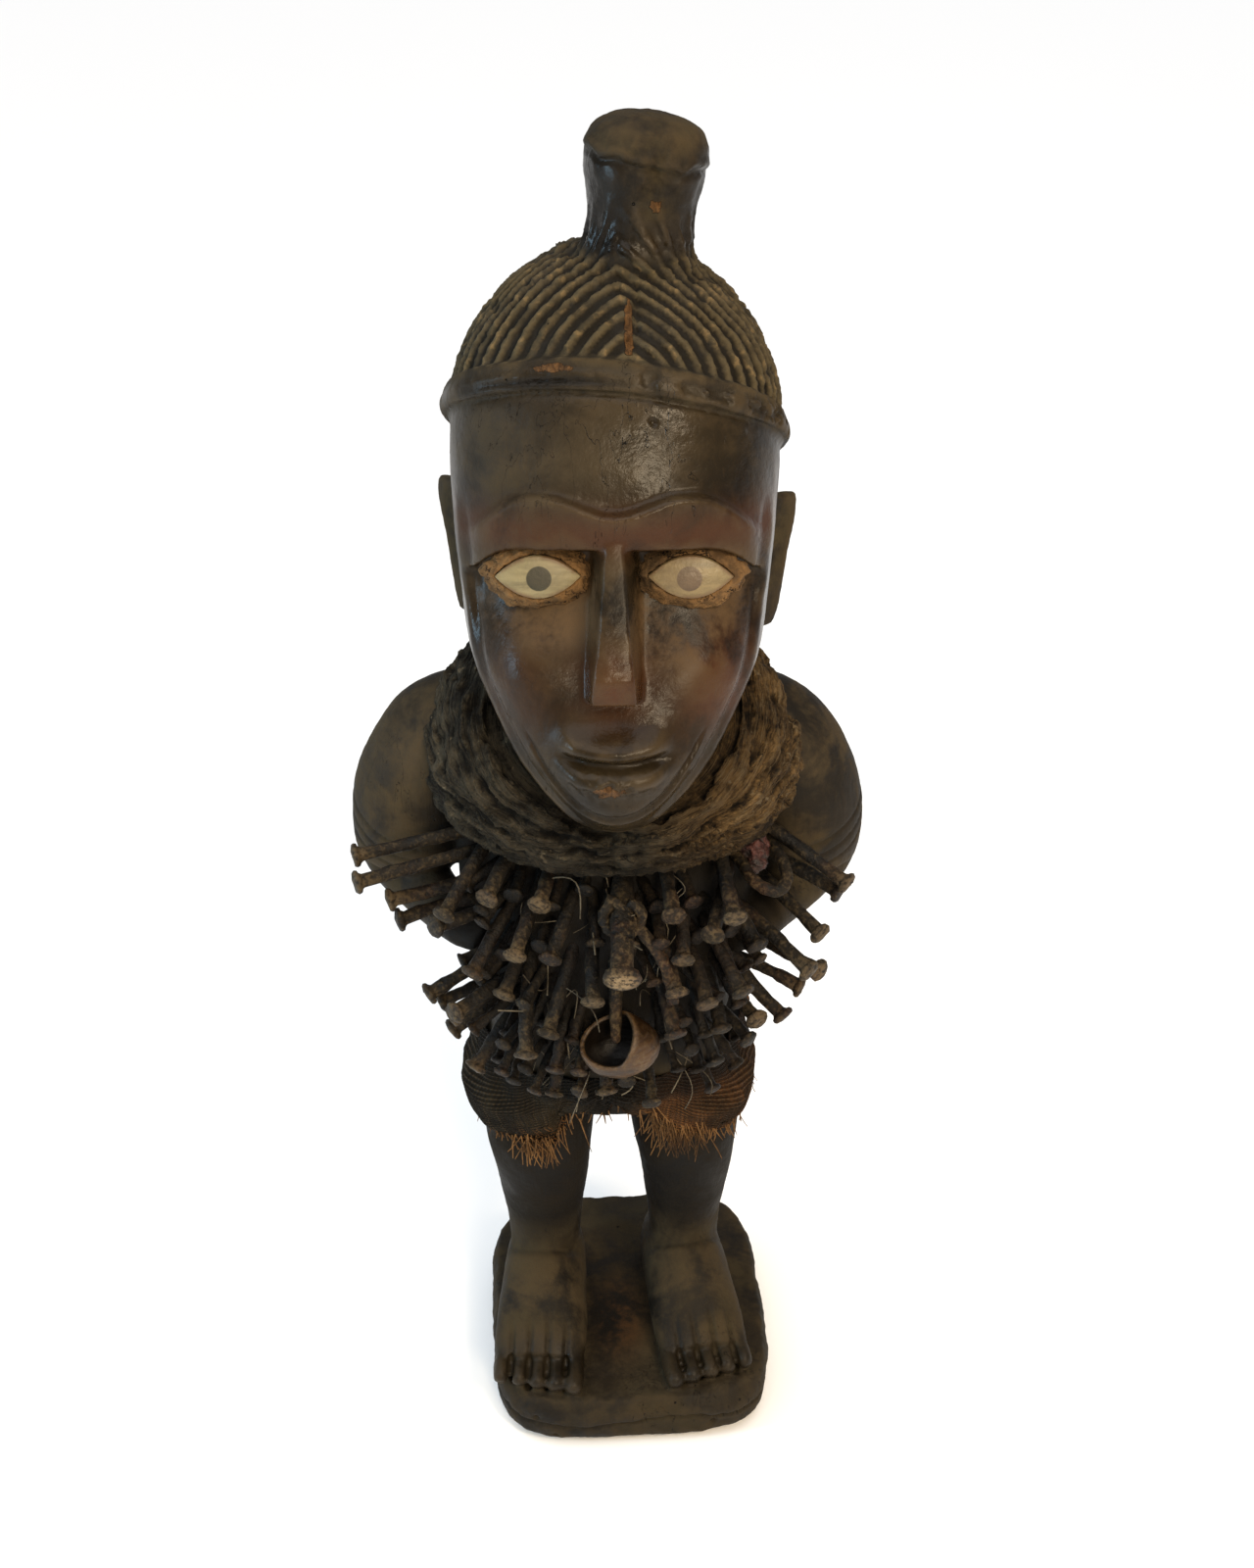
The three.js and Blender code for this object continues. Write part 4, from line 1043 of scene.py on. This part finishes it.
def makeWrap(look):
    bm = bmesh.new()
    addSkin(bm, coreAt, 90, 220, poles=False)
    toMetres(bm)
    cords = tubes("cords", cordPaths(random.Random(11)), 1)
    bm.from_mesh(cords)
    bpy.data.meshes.remove(cords)
    piece = finishPiece("neckCords", bm, look, ["neck_wrap"])
    mesh = remeshed(piece, wrap["voxel"])
    points, normals = readPoints(mesh) / mm, readNormals(mesh)
    across, along = cordsAt(points)
    locks = roughness(columns(across, along * 0.13, 0), 5.2, 2, seed=12)
    strands = roughness(columns(across, along * 0.16, 9), 2.3, 2, seed=13)
    push = 1.3 * (0.4 - np.abs(locks) * 2.6) + 0.9 * strands + 0.7 * roughness(points, 4, 3, seed=14)
    writePoints(mesh, (points + normals * np.maximum(push, -3)[:, None]) * mm)
    mesh = thinned(piece, wrap["triangles"])
    points = markHollows(mesh, 6, 0.8)
    across, along = cordsAt(points)
    writeMarks(mesh, 1e4, acrossCords=across, alongCords=along)
    x, y, z = points.T
    writeMarks(mesh, right=step(x + 0.1 * (z - 380), -4, 40), red=hill(np.hypot(x - 71, z - 420), 7),
               # painted shade on the lower front of the cords
               under=step(z, 366, 348) * step(y, 10, -20))
    dress(piece, look)
    print("neck cords", len(mesh.polygons))


# The raffia cloth

weave = dict(
    rib=1.9, thread=2.6, columns=240, rows=170, thick=0.9, relief=0.3, top=217, hem=163, rise=7, lift=22,
    gathers=21, width=0.46,  # the flat cloth's, round both lobes, in metres
    exponent=0.87, clear=1.5,  # how round its outlines are, and how far it keeps off the wood
    # height, half width, half depth, centre and set-back of the lobe over a thigh
    lobe=[[160, 20, 25, -46, 0], [165, 25, 33, -48, 2], [175, 29, 41, -50, 3], [184, 30, 45, -51, 4],
          [191, 30, 48, -51, 4], [206, 26, 44, -48, 4], [217, 26, 42, -46, 4]],
    # height, half width, front and back round the hips
    band=[[160, 60, -46, 50], [190, 62.5, -50, 58], [202, 63, -53, 57], [217, 60, -51, 48]])
fringe = dict(all=420, tufts=220, rightTufts=160)  # strands, those in tufts, and those in the right one


def evenly(points, count):  # a closed outline read at even steps
    closed = np.vstack([points, points[:1]])
    walked = np.concatenate([[0], np.cumsum(np.linalg.norm(np.diff(closed, axis=0), axis=1))])
    at = np.linspace(0, walked[-1], count)
    return np.stack([np.interp(at, walked, closed[:, k]) for k in (0, 1)], axis=1)


def clothOutline(z, count):
    half, deep, centre, back = smoothAt(weave["lobe"], z)
    wide, front, rear = smoothAt(weave["band"], z)
    middle = trunk["middle"]
    u, v = sectionAt(np.radians(np.linspace(-150, 150, 120)), half, -deep, deep, weave["exponent"])
    right = np.stack([middle + (middle - centre) + u, back + v], axis=1)
    left = np.stack([centre - u, back - v], axis=1)
    lobes = evenly(np.vstack([right, left]), count)
    turn = np.linspace(-np.pi / 2, 1.5 * np.pi, 240, endpoint=False)
    u, v = sectionAt(turn, wide, front, rear, weave["exponent"])
    band = evenly(np.stack([middle + u, v], axis=1), count)
    start = np.argmin(np.hypot(lobes[:, 0] - middle, lobes[:, 1] + 20))
    lobes = np.roll(lobes[:-1], -start, axis=0)
    lobes = np.vstack([lobes, lobes[:1]])
    outline = clearOfBody(lobes + (band - lobes) * step(z, 186, 208), z)
    for _ in range(4):
        beside = np.roll(outline[:-1], 1, axis=0), np.roll(outline[:-1], -1, axis=0)
        outline[:-1] = (beside[0] + outline[:-1] * 2 + beside[1]) / 4
    outline[-1] = outline[0]
    return outline


def clearOfBody(flat, z):  # the cloth lies outside the trunk and the thighs
    half, front, back = smoothAt(trunk["rows"], max(z, trunk["rows"][0][0]))
    sections = [(trunk["middle"], (front + back) / 2, half, (back - front) / 2, trunk["square"],
                 step(z, 148, 160))]
    thigh = np.array([[height, x, y, half, deep] for (x, y, height), half, deep in leg][::-1], float)
    x, y, half, deep = smoothAt(thigh, z)
    for foot in feet:
        sections.append((x + foot["place"][0], y + foot["place"][1], half, deep, 2, 1))
    for x, y, half, deep, square, share in sections:
        wide, long = half + weave["clear"], deep + weave["clear"]
        u, v = (flat[:, 0] - x) / wide, (flat[:, 1] - y) / long
        inside = (np.abs(u) ** square + np.abs(v) ** square) ** (1 / square)
        grow = 1 + share * (1 / np.clip(inside, 0.25, 1) - 1)
        flat = np.stack([x + u * grow * wide, y + v * grow * long], axis=1)
    return flat


def makeCloth(look, fray):
    bm = bmesh.new()
    bm.loops.layers.uv.new("UVMap")
    bmesh.ops.create_grid(bm, x_segments=weave["columns"], y_segments=weave["rows"], size=0.5,
                          calc_uvs=True)
    shares = np.array([v.co for v in bm.verts]) + 0.5
    around, along = shares[:, 0], shares[:, 1]
    # the hem is lifted between the lobes, and is notched and ragged
    between = np.maximum.reduce([hill(around - at, 0.05) for at in (0, 0.5, 1)])
    outside = np.maximum.reduce([hill(around - at, 0.06) for at in (0.25, 0.75)])
    ragged = 1.6 * np.sin(around * 61) + 1.3 * np.sin(around * 143 + 1) + 1.0 * np.sin(around * 317)
    rightSide = step(np.cos(2 * np.pi * (around - 0.25)), -0.2, 0.2)
    notches = 5 * step(np.sin(around * 2 * np.pi * 44), 0.55, 0.8) * between
    hem = weave["hem"] + weave["lift"] * between + 6 * outside + weave["rise"] * rightSide
    hem = hem + notches + ragged
    z = hem + (weave["top"] - hem) * along
    heights = np.linspace(weave["hem"] - 8, weave["top"] + 2, 90)
    outlines = np.array([clothOutline(height, weave["columns"] + 1) for height in heights])
    at = np.interp(z, heights, np.arange(len(heights)))
    low = np.clip(at.astype(int), 0, len(heights) - 2)
    t = (at - low)[:, None]
    column = np.rint(around * weave["columns"]).astype(int)
    flat = outlines[low, column] * (1 - t) + outlines[low + 1, column] * t
    for vert, point in zip(bm.verts, columns(flat[:, 0], flat[:, 1], z)):
        vert.co = point * mm
    bmesh.ops.recalc_face_normals(bm, faces=bm.faces)
    piece = finishPiece("raffiaCloth", bm, look, ["hip_cloth"])
    mesh = piece.data
    points, normals = readPoints(mesh) / mm, readNormals(mesh)
    x, y, z = points.T
    if np.mean(np.einsum("ij,ij->i", normals[:, :2], points[:, :2] - [trunk["middle"], 3])) < 0:
        mesh.flip_normals()
        normals = -normals
    slope = z + 0.30 * np.abs(x - trunk["middle"]) + 0.15 * y
    push = weave["relief"] * np.sin(slope * 2 * np.pi / weave["rib"])
    push += 1.5 * roughness(points, 20, 2, seed=21)
    gathers = np.sin(around * 2 * np.pi * weave["gathers"] + 1.5 * np.sin(z * 0.09))
    push += 1.1 * gathers * step(z, 176, 206)
    writePoints(mesh, (points + normals * push[:, None]) * mm)
    writeMarks(mesh, 1e4, ribs=slope)
    x, y, z = (readPoints(mesh) / mm).T
    inner = hill(x - 22, 11) * step(z, 200, 188) + 0.6 * hill(x + 40, 12) * step(z, 180, 172)
    writeMarks(mesh, right=step(x, -6, 20), frayed=inner * (y < -10) + 0.8 * step(z - hem, 5, 1),
               # painted shade along the top of the cloth and down its middle, between the lobes
               soot=(step(z, 196, 208) + hill(x - trunk["middle"], 14)) * (y < 10))
    solid = piece.modifiers.new("thickness", "SOLIDIFY")
    solid.thickness = weave["thick"] * mm
    solid.offset = -1
    width, area = weave["width"], sum(face.area for face in mesh.polygons)
    ends = makeFringe(fray, points[along < 1e-6])
    area / width
    print("cloth area", round(area, 5), "width", width, "height", round(area / width, 4))


def makeFringe(look, edge):
    chance = random.Random(23)
    strands = []
    for k in range(fringe["all"]):
        x, y, z = edge[chance.randrange(len(edge))]
        tuft, onRight = k < fringe["tufts"], k < fringe["rightTufts"]
        if tuft:  # at the inner front of both lobes
            middle = chance.gauss(23, 7) if onRight else -chance.gauss(42, 8)
            near = edge[(edge[:, 1] < -14) & (np.abs(edge[:, 0] - middle) < 3)]
            if len(near) == 0:
                continue
            x, y, z = near[chance.randrange(len(near))]
            z += chance.uniform(-2, 15) if onRight else chance.uniform(-2, 5)
            y -= chance.uniform(0.5, 4)
        length = chance.uniform(5, 13) if tuft else chance.uniform(2, 5.5)
        lean, tilt = chance.gauss(0.1, 0.35), chance.gauss(0.12, 0.2)
        sway = chance.uniform(-1.5, 1.5)
        strand = []
        for t in (0, 0.25, 0.5, 0.75, 1):
            aside, ahead = lean * length * t + sway * t * t, tilt * length * t + 0.6 * t
            place = (x + aside, y - ahead, z + 2 - (length + 2) * t)
            strand.append((place, chance.uniform(0.3, 0.5) * (1 - 0.5 * t)))
        strands.append(strand)
    return dress(show("raffiaFringe", tubes("fringe", strands, 0)), look)


# Iron nails and the things among them

# the last two: where the soot and painted shade on the nails is full and where it ends, in millimetres from the
# trunk
forged = dict(sides=12, bend=1.6, deep=6, rough=0.45, sootNear=9, sootFar=28)
bundle = dict(small=58, across=(-60, 44), up=(236, 352), keptUnder=344, reach=(16, 30), head=(3.6, 4.8),
              seed=4, giveUp=0.0006)  # the chance of ending the search where there is no room


def forge(bm, stations, sides):  # a ring is extruded through stations of place, direction and radius
    def frameAt(place, ahead, radius):
        turn = Vector(ahead).to_track_quat("Z", "Y").to_matrix().to_4x4()
        return Matrix.Translation(place) @ turn @ Matrix.Diagonal((radius, radius, radius, 1))

    before = frameAt(*stations[0])
    ring = bmesh.ops.create_circle(bm, cap_ends=True, radius=1, segments=sides, matrix=before)["verts"]
    rim = list(dict.fromkeys(edge for vert in ring for edge in vert.link_edges))
    for station in stations[1:]:
        made = bmesh.ops.extrude_edge_only(bm, edges=rim)["geom"]
        verts = [g for g in made if isinstance(g, bmesh.types.BMVert)]
        rim = [g for g in made if isinstance(g, bmesh.types.BMEdge) and all(v in verts for v in g.verts)]
        after = frameAt(*station)
        bmesh.ops.transform(bm, matrix=after @ before.inverted(), verts=verts)
        before = after
    bmesh.ops.contextual_create(bm, geom=rim)


def nailStations(root, tip, shank, wide, chance):
    root, tip = Vector(root), Vector(tip)
    ahead = (tip - root).normalized()
    long = (tip - root).length
    aside = ahead.orthogonal().normalized()
    aside.rotate(Matrix.Rotation(chance.uniform(0, 6.28), 3, ahead))
    bend = chance.uniform(0.2, 1) * forged["bend"]
    thick = 2.6 * wide / 5
    flare = wide / shank
    cap = [(long - thick - 1.6, 1.02), (long - thick - 0.5, 1.25), (long - thick, flare * 0.93),
           (long - thick * 0.55, flare), (long - thick * 0.22, flare * 0.86), (long, flare * 0.35)]
    body = [(-forged["deep"], 0.8), (0, 0.9)] + [(long * k / 7, chance.uniform(0.86, 1.1)) for k in range(1, 6)]
    body = [b for b in body if b[0] < cap[0][0] - 1]
    stations = []
    for distance, share in body + cap:
        t = min(1, max(0, distance / long))
        place = root + ahead * distance + aside * bend * math.sin(math.pi * t)
        stations.append((place, ahead, shank * share))
    return stations


def roughen(mesh, amount, size, seed):
    points, normals = readPoints(mesh), readNormals(mesh)
    push = roughness(points / mm, size, 3, seed) * amount * mm
    writePoints(mesh, points + normals * push[:, None])


def boxOf(node):  # its middle and half its size, in millimetres
    low, high = [np.array(corner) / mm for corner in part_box(node)]
    return (low + high) / 2, (high - low) / 2


def axisOf(node):  # the root, the tip and the widest reach from the axis
    points = readPoints(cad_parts[node].data) / mm
    middle = points.mean(axis=0)
    ahead = np.linalg.svd(points - middle, full_matrices=False)[2][0]
    along = (points - middle) @ ahead
    off = np.linalg.norm(points - middle - along[:, None] * ahead, axis=1)
    if off[along > 0].max() < off[along < 0].max():
        ahead, along = -ahead, -along
    return middle + ahead * along.min(), middle + ahead * along.max(), off.max()


def forgedPiece(name, stations, look, nodes, seed, rough=forged["rough"]):
    bm = bmesh.new()
    for part in stations:
        forge(bm, part, forged["sides"])
    bmesh.ops.recalc_face_normals(bm, faces=bm.faces)
    long = [edge for edge in bm.edges if edge.calc_length() > 4]
    bmesh.ops.subdivide_edges(bm, edges=long, cuts=1, use_grid_fill=True)
    toMetres(bm)
    piece = finishPiece(name, bm, look, nodes)
    roughen(piece.data, rough, 3.2, seed)
    return piece.data


# the darkening is soot and painted shade, full near the trunk and lighter at its sides
def markSootAndShade(mesh):  # the nails are black near the trunk, and less so at its sides
    x, y, z = (readPoints(mesh) / mm).T
    ahead = smoothAt(trunk["rows"], z)[..., 1] - y
    aside = step(np.abs(x - trunk["middle"]), 50, 70)
    writeMarks(mesh, sooted=step(ahead, forged["sootFar"], forged["sootNear"]) * (1 - 0.6 * aside))


def trunkFront(x, z):
    half, front, back = smoothAt(trunk["rows"], z)
    share = 1 - abs((x - trunk["middle"]) / half) ** trunk["square"]
    return (front + back) / 2 - (back - front) / 2 * max(0, share) ** (1 / trunk["square"])


def isFree(root, tip, wide, taken):  # a small nail keeps off all that stands already
    spots = root + (tip - root) * np.linspace(0.1, 1, 9)[:, None]
    for otherRoot, otherTip, otherWide, otherHead in taken:
        others = otherRoot + (otherTip - otherRoot) * np.linspace(0, 1, 14)[:, None]
        gaps = np.linalg.norm(spots[:, None] - others[None], axis=2)
        if (gaps.min() < otherWide + wide * 0.55 or gaps[-1].min() < otherWide + wide
                or gaps[:, -1].min() < otherHead + wide * 0.5):
            return False
    return True


def makeNails(look):
    chance = random.Random(bundle["seed"])
    taken = []
    for k, node in enumerate(sorted(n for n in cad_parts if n.startswith("nail_"))):
        root, tip, wide = axisOf(node)
        taken.append((root, tip, wide * 0.6, wide))
        stations = nailStations(root, tip, wide * 0.6, wide * 1.04, chance)
        mesh = forgedPiece("forged_" + node, [stations], look, [node], k)
        markSootAndShade(mesh)
        fromTip = np.linalg.norm(readPoints(mesh) / mm - tip, axis=1)
        dusty = 0.9 if node == "nail_big" else 0.25 * chance.random()
        writeMarks(mesh, dust=step(fromTip, 9, 3) * dusty)
    for node in ("iron_loop", "snail_shell", "iron_hoop", "iron_peg"):
        middle, half = boxOf(node)
        deep = np.array([0, half[1] * 0.5, 0])
        taken.append((middle - deep, middle + deep, half[[0, 2]].max() * 0.8, 0))
    small = []
    while len(small) < bundle["small"]:
        x, z = chance.uniform(*bundle["across"]), chance.uniform(*bundle["up"])
        yaw = math.radians((x - trunk["middle"]) * 0.9 + chance.gauss(0, 12))
        droop = math.radians(chance.uniform(10, 50))
        reach, wide = chance.uniform(*bundle["reach"]), chance.uniform(*bundle["head"])
        level, fall = math.cos(droop), -math.sin(droop)
        ahead = np.array([math.sin(yaw) * level, -math.cos(yaw) * level, fall])
        root = np.array([x, trunkFront(x, z), z])
        tip = root + ahead * reach
        if z < bundle["keptUnder"] and isFree(root, tip, wide, taken):
            small.append(nailStations(root, tip, wide * 0.58, wide, chance))
            taken.append((root, tip, wide * 0.58, wide))
        elif chance.random() < bundle["giveUp"]:
            break
    markSootAndShade(forgedPiece("smallNails", small, look, [], 70))
    print("small nails", len(small))
    return taken


def alongPath(points, radii, count):  # stations on a smooth path
    rows = [[i, *point] for i, point in enumerate(points)]
    at = np.linspace(0, len(rows) - 1, count)
    here = smoothAt(rows, at)
    ahead = unit(smoothAt(rows, at + 0.05) - smoothAt(rows, at - 0.05))
    thick = np.interp(at, np.arange(len(radii)), radii)
    return [(Vector(p), Vector(a), r) for p, a, r in zip(here, ahead, thick)]


hoop = dict(place=(50, -16, 336), yaw=20, reach=44, half=9, drop=6, thick=2.7,
            bends=[(1, 0, 1.3), (0.85, 0.8, 1), (0.5, 1, 0.4), (-0.22, 1, 0)])  # ahead, across and down
clot = dict(size=(6.2, 12, 9), ahead=18, down=3, rough=3.2)


def makeIrons(look, clotFinish):
    middle, half = boxOf("iron_loop")
    reach = half - 2.3
    ring = []
    for i in range(13):
        turn = math.radians(20 + 320 * i / 12)
        ring.append(middle + [math.sin(turn) * reach[0], 1.2 * math.cos(turn), math.cos(turn) * reach[2]])
    bar = [middle + [12, -1, -12], middle + [18, -3, -22], middle + [21, -4, -33], middle + [22, -4, -42]]
    bent = alongPath(ring + bar, [2.0] + [2.5] * 9 + [2.6] * 7, 60)
    forgedPiece("ironRing", [bent], look, ["iron_loop"], 81, 0.6)
    yaw, place = math.radians(hoop["yaw"]), np.array(hoop["place"])
    ahead = np.array([math.sin(yaw), -math.cos(yaw), 0])
    side = np.array([math.cos(yaw), math.sin(yaw), 0])
    bend = []
    for i in range(-3, 4):
        out, across, down = hoop["bends"][abs(i)]
        bend.append(place + ahead * hoop["reach"] * out - side * hoop["half"] * across * np.sign(i)
                    - np.array([0, 0, hoop["drop"] * down]))
    forgedPiece("ironHoop", [alongPath(bend, [hoop["thick"]] * 7, 40)], look, ["iron_hoop"], 82, 0.5)
    root, tip, _ = axisOf("iron_peg")
    if root[1] < tip[1]:
        root, tip = tip, root
    run = [root + (tip - root) * t for t in (-0.1, 0, 0.3, 0.6, 0.85, 0.97, 1)]
    peg = alongPath(run, [3.4, 3.6, 3.3, 2.9, 2.5, 2.0, 1.2], 16)
    forgedPiece("ironPeg", [peg], look, ["iron_peg"], 83, 0.4)
    bm = bmesh.new()
    bmesh.ops.create_icosphere(bm, subdivisions=5, radius=1)
    bmesh.ops.scale(bm, vec=clot["size"], verts=bm.verts)
    middle = place + ahead * clot["ahead"] - np.array([0, 0, clot["down"]])
    bmesh.ops.translate(bm, vec=middle, verts=bm.verts)
    toMetres(bm)
    roughen(finishPiece("darkClot", bm, clotFinish).data, clot["rough"], 5, 84)


cup = dict(place=(-3, -74, 257), facing=(-0.3, -0.4, 0.87), long=16, wide=14, wall=1.5, stretch=1.3,
           open=0.62, curl=5.5, lean=7, lip=2.5)


def makeShell(look):
    bm = bmesh.new()
    outer = []
    for k in range(17):
        turn = math.pi * cup["open"] * k / 16
        outer.append((cup["wide"] * math.sin(turn), -cup["long"] * math.cos(turn)))
    narrower, shorter = 1 - cup["wall"] / cup["wide"], 1 - cup["wall"] / cup["long"]
    inner = [(x * narrower, z * shorter) for x, z in reversed(outer)]
    verts = [bm.verts.new((x, 0, z)) for x, z in outer + inner]
    edges = [bm.edges.new(pair) for pair in zip(verts, verts[1:])]
    bmesh.ops.spin(bm, geom=verts + edges, cent=(0, 0, 0), axis=(0, 0, 1), angle=2 * math.pi, steps=56,
                   use_merge=True)
    bmesh.ops.remove_doubles(bm, verts=bm.verts, dist=0.01)
    bmesh.ops.recalc_face_normals(bm, faces=bm.faces)
    bmesh.ops.scale(bm, vec=(cup["stretch"], 1, 1), verts=bm.verts)
    inside, rim = [], []
    rimHeight = -cup["long"] * math.cos(math.pi * cup["open"])
    for vert in bm.verts:
        x, y, z = vert.co
        share = step(np.array(z), -6, 8)
        widest = math.sqrt(max(0, 1 - (z / cup["long"]) ** 2)) * cup["wide"]
        turn = math.atan2(y, x)
        onRight = max(0, math.cos(turn))
        # the outer whorl curls over the opening at the right, and the lip dips in front
        vert.co.z += share * (cup["curl"] * onRight - cup["lip"] * hill(turn + 1.9, 0.6))
        vert.co.x -= share * cup["lean"] * onRight ** 2
        # the inside of the cup is given painted shade
        inside.append(float(math.hypot(x / cup["stretch"], y) / max(0.1, widest) < 0.96))
        rim.append(float(hill(z - rimHeight, 0.9)))
    turn = Vector((0, 0, 1)).rotation_difference(Vector(cup["facing"]).normalized()).to_matrix()
    bmesh.ops.rotate(bm, cent=(0, 0, 0), matrix=turn, verts=bm.verts)
    bmesh.ops.translate(bm, vec=cup["place"], verts=bm.verts)
    toMetres(bm)
    mesh = finishPiece("snailCup", bm, look, ["snail_shell"]).data
    writeMarks(mesh, inside=inside, rim=rim)
    roughen(mesh, 0.25, 6, 91)


fibres = dict(count=44, left=-48, right=34, sag=7, curl=5)


def makeFibres(look, taken):
    chance = random.Random(33)
    strands = []
    middle = [nail for nail in taken if fibres["left"] < nail[1][0] < fibres["right"]]
    for _ in range(fibres["count"]):
        root, tip = middle[chance.randrange(len(middle))][:2]
        start = root + (tip - root) * chance.uniform(0.05, 0.6)
        heading = unit(np.array([chance.gauss(0, 1), chance.gauss(-0.5, 0.7), chance.gauss(-0.6, 0.9)]))
        long = chance.uniform(8, 24)
        curl = np.array([chance.gauss(0, 1) for _ in range(3)]) * fibres["curl"]
        thick = chance.uniform(0.18, 0.38)
        strand = []
        for t in np.linspace(0, 1, 9):
            sag = np.array([0, 0, fibres["sag"] * t * t])
            strand.append((start + heading * long * t + curl * math.sin(math.pi * t) - sag, thick))
        strands.append(strand)
    dress(show("looseFibres", tubes("fibres", strands, 0)), look)


# What is shown

eyeColours = dict(  # name, white, pupil, the haze over it and how strong that is
    left=("paleEye", (0.20, 0.165, 0.085), (0.030, 0.027, 0.013), (0.13, 0.095, 0.06), 0.1),
    right=("foggedEye", (0.18, 0.135, 0.065), (0.085, 0.056, 0.034), (0.125, 0.088, 0.05), 0.35))

makeCamera()
makeLight()
makeFloor()
print("stage made")

carveFigure(woodLook())
print("figure carved")
makeEyes({side: eyeLook(*colours) for side, colours in eyeColours.items()}, clayLook())
print("eyes set")
makeWrap(cordLook())
iron = ironLook()
taken = makeNails(iron)
makeIrons(iron, clotLook())
makeShell(shellLook())
print("irons and shell made")
makeCloth(raffiaLook(460, 50), fibreLook("frayedRaffia", (0.030, 0.015, 0.006), (0.17, 0.086, 0.030)))
makeFibres(fibreLook("dustyFibre", (0.03, 0.024, 0.016), (0.14, 0.12, 0.085)), taken)
print("cloth and fibres made")
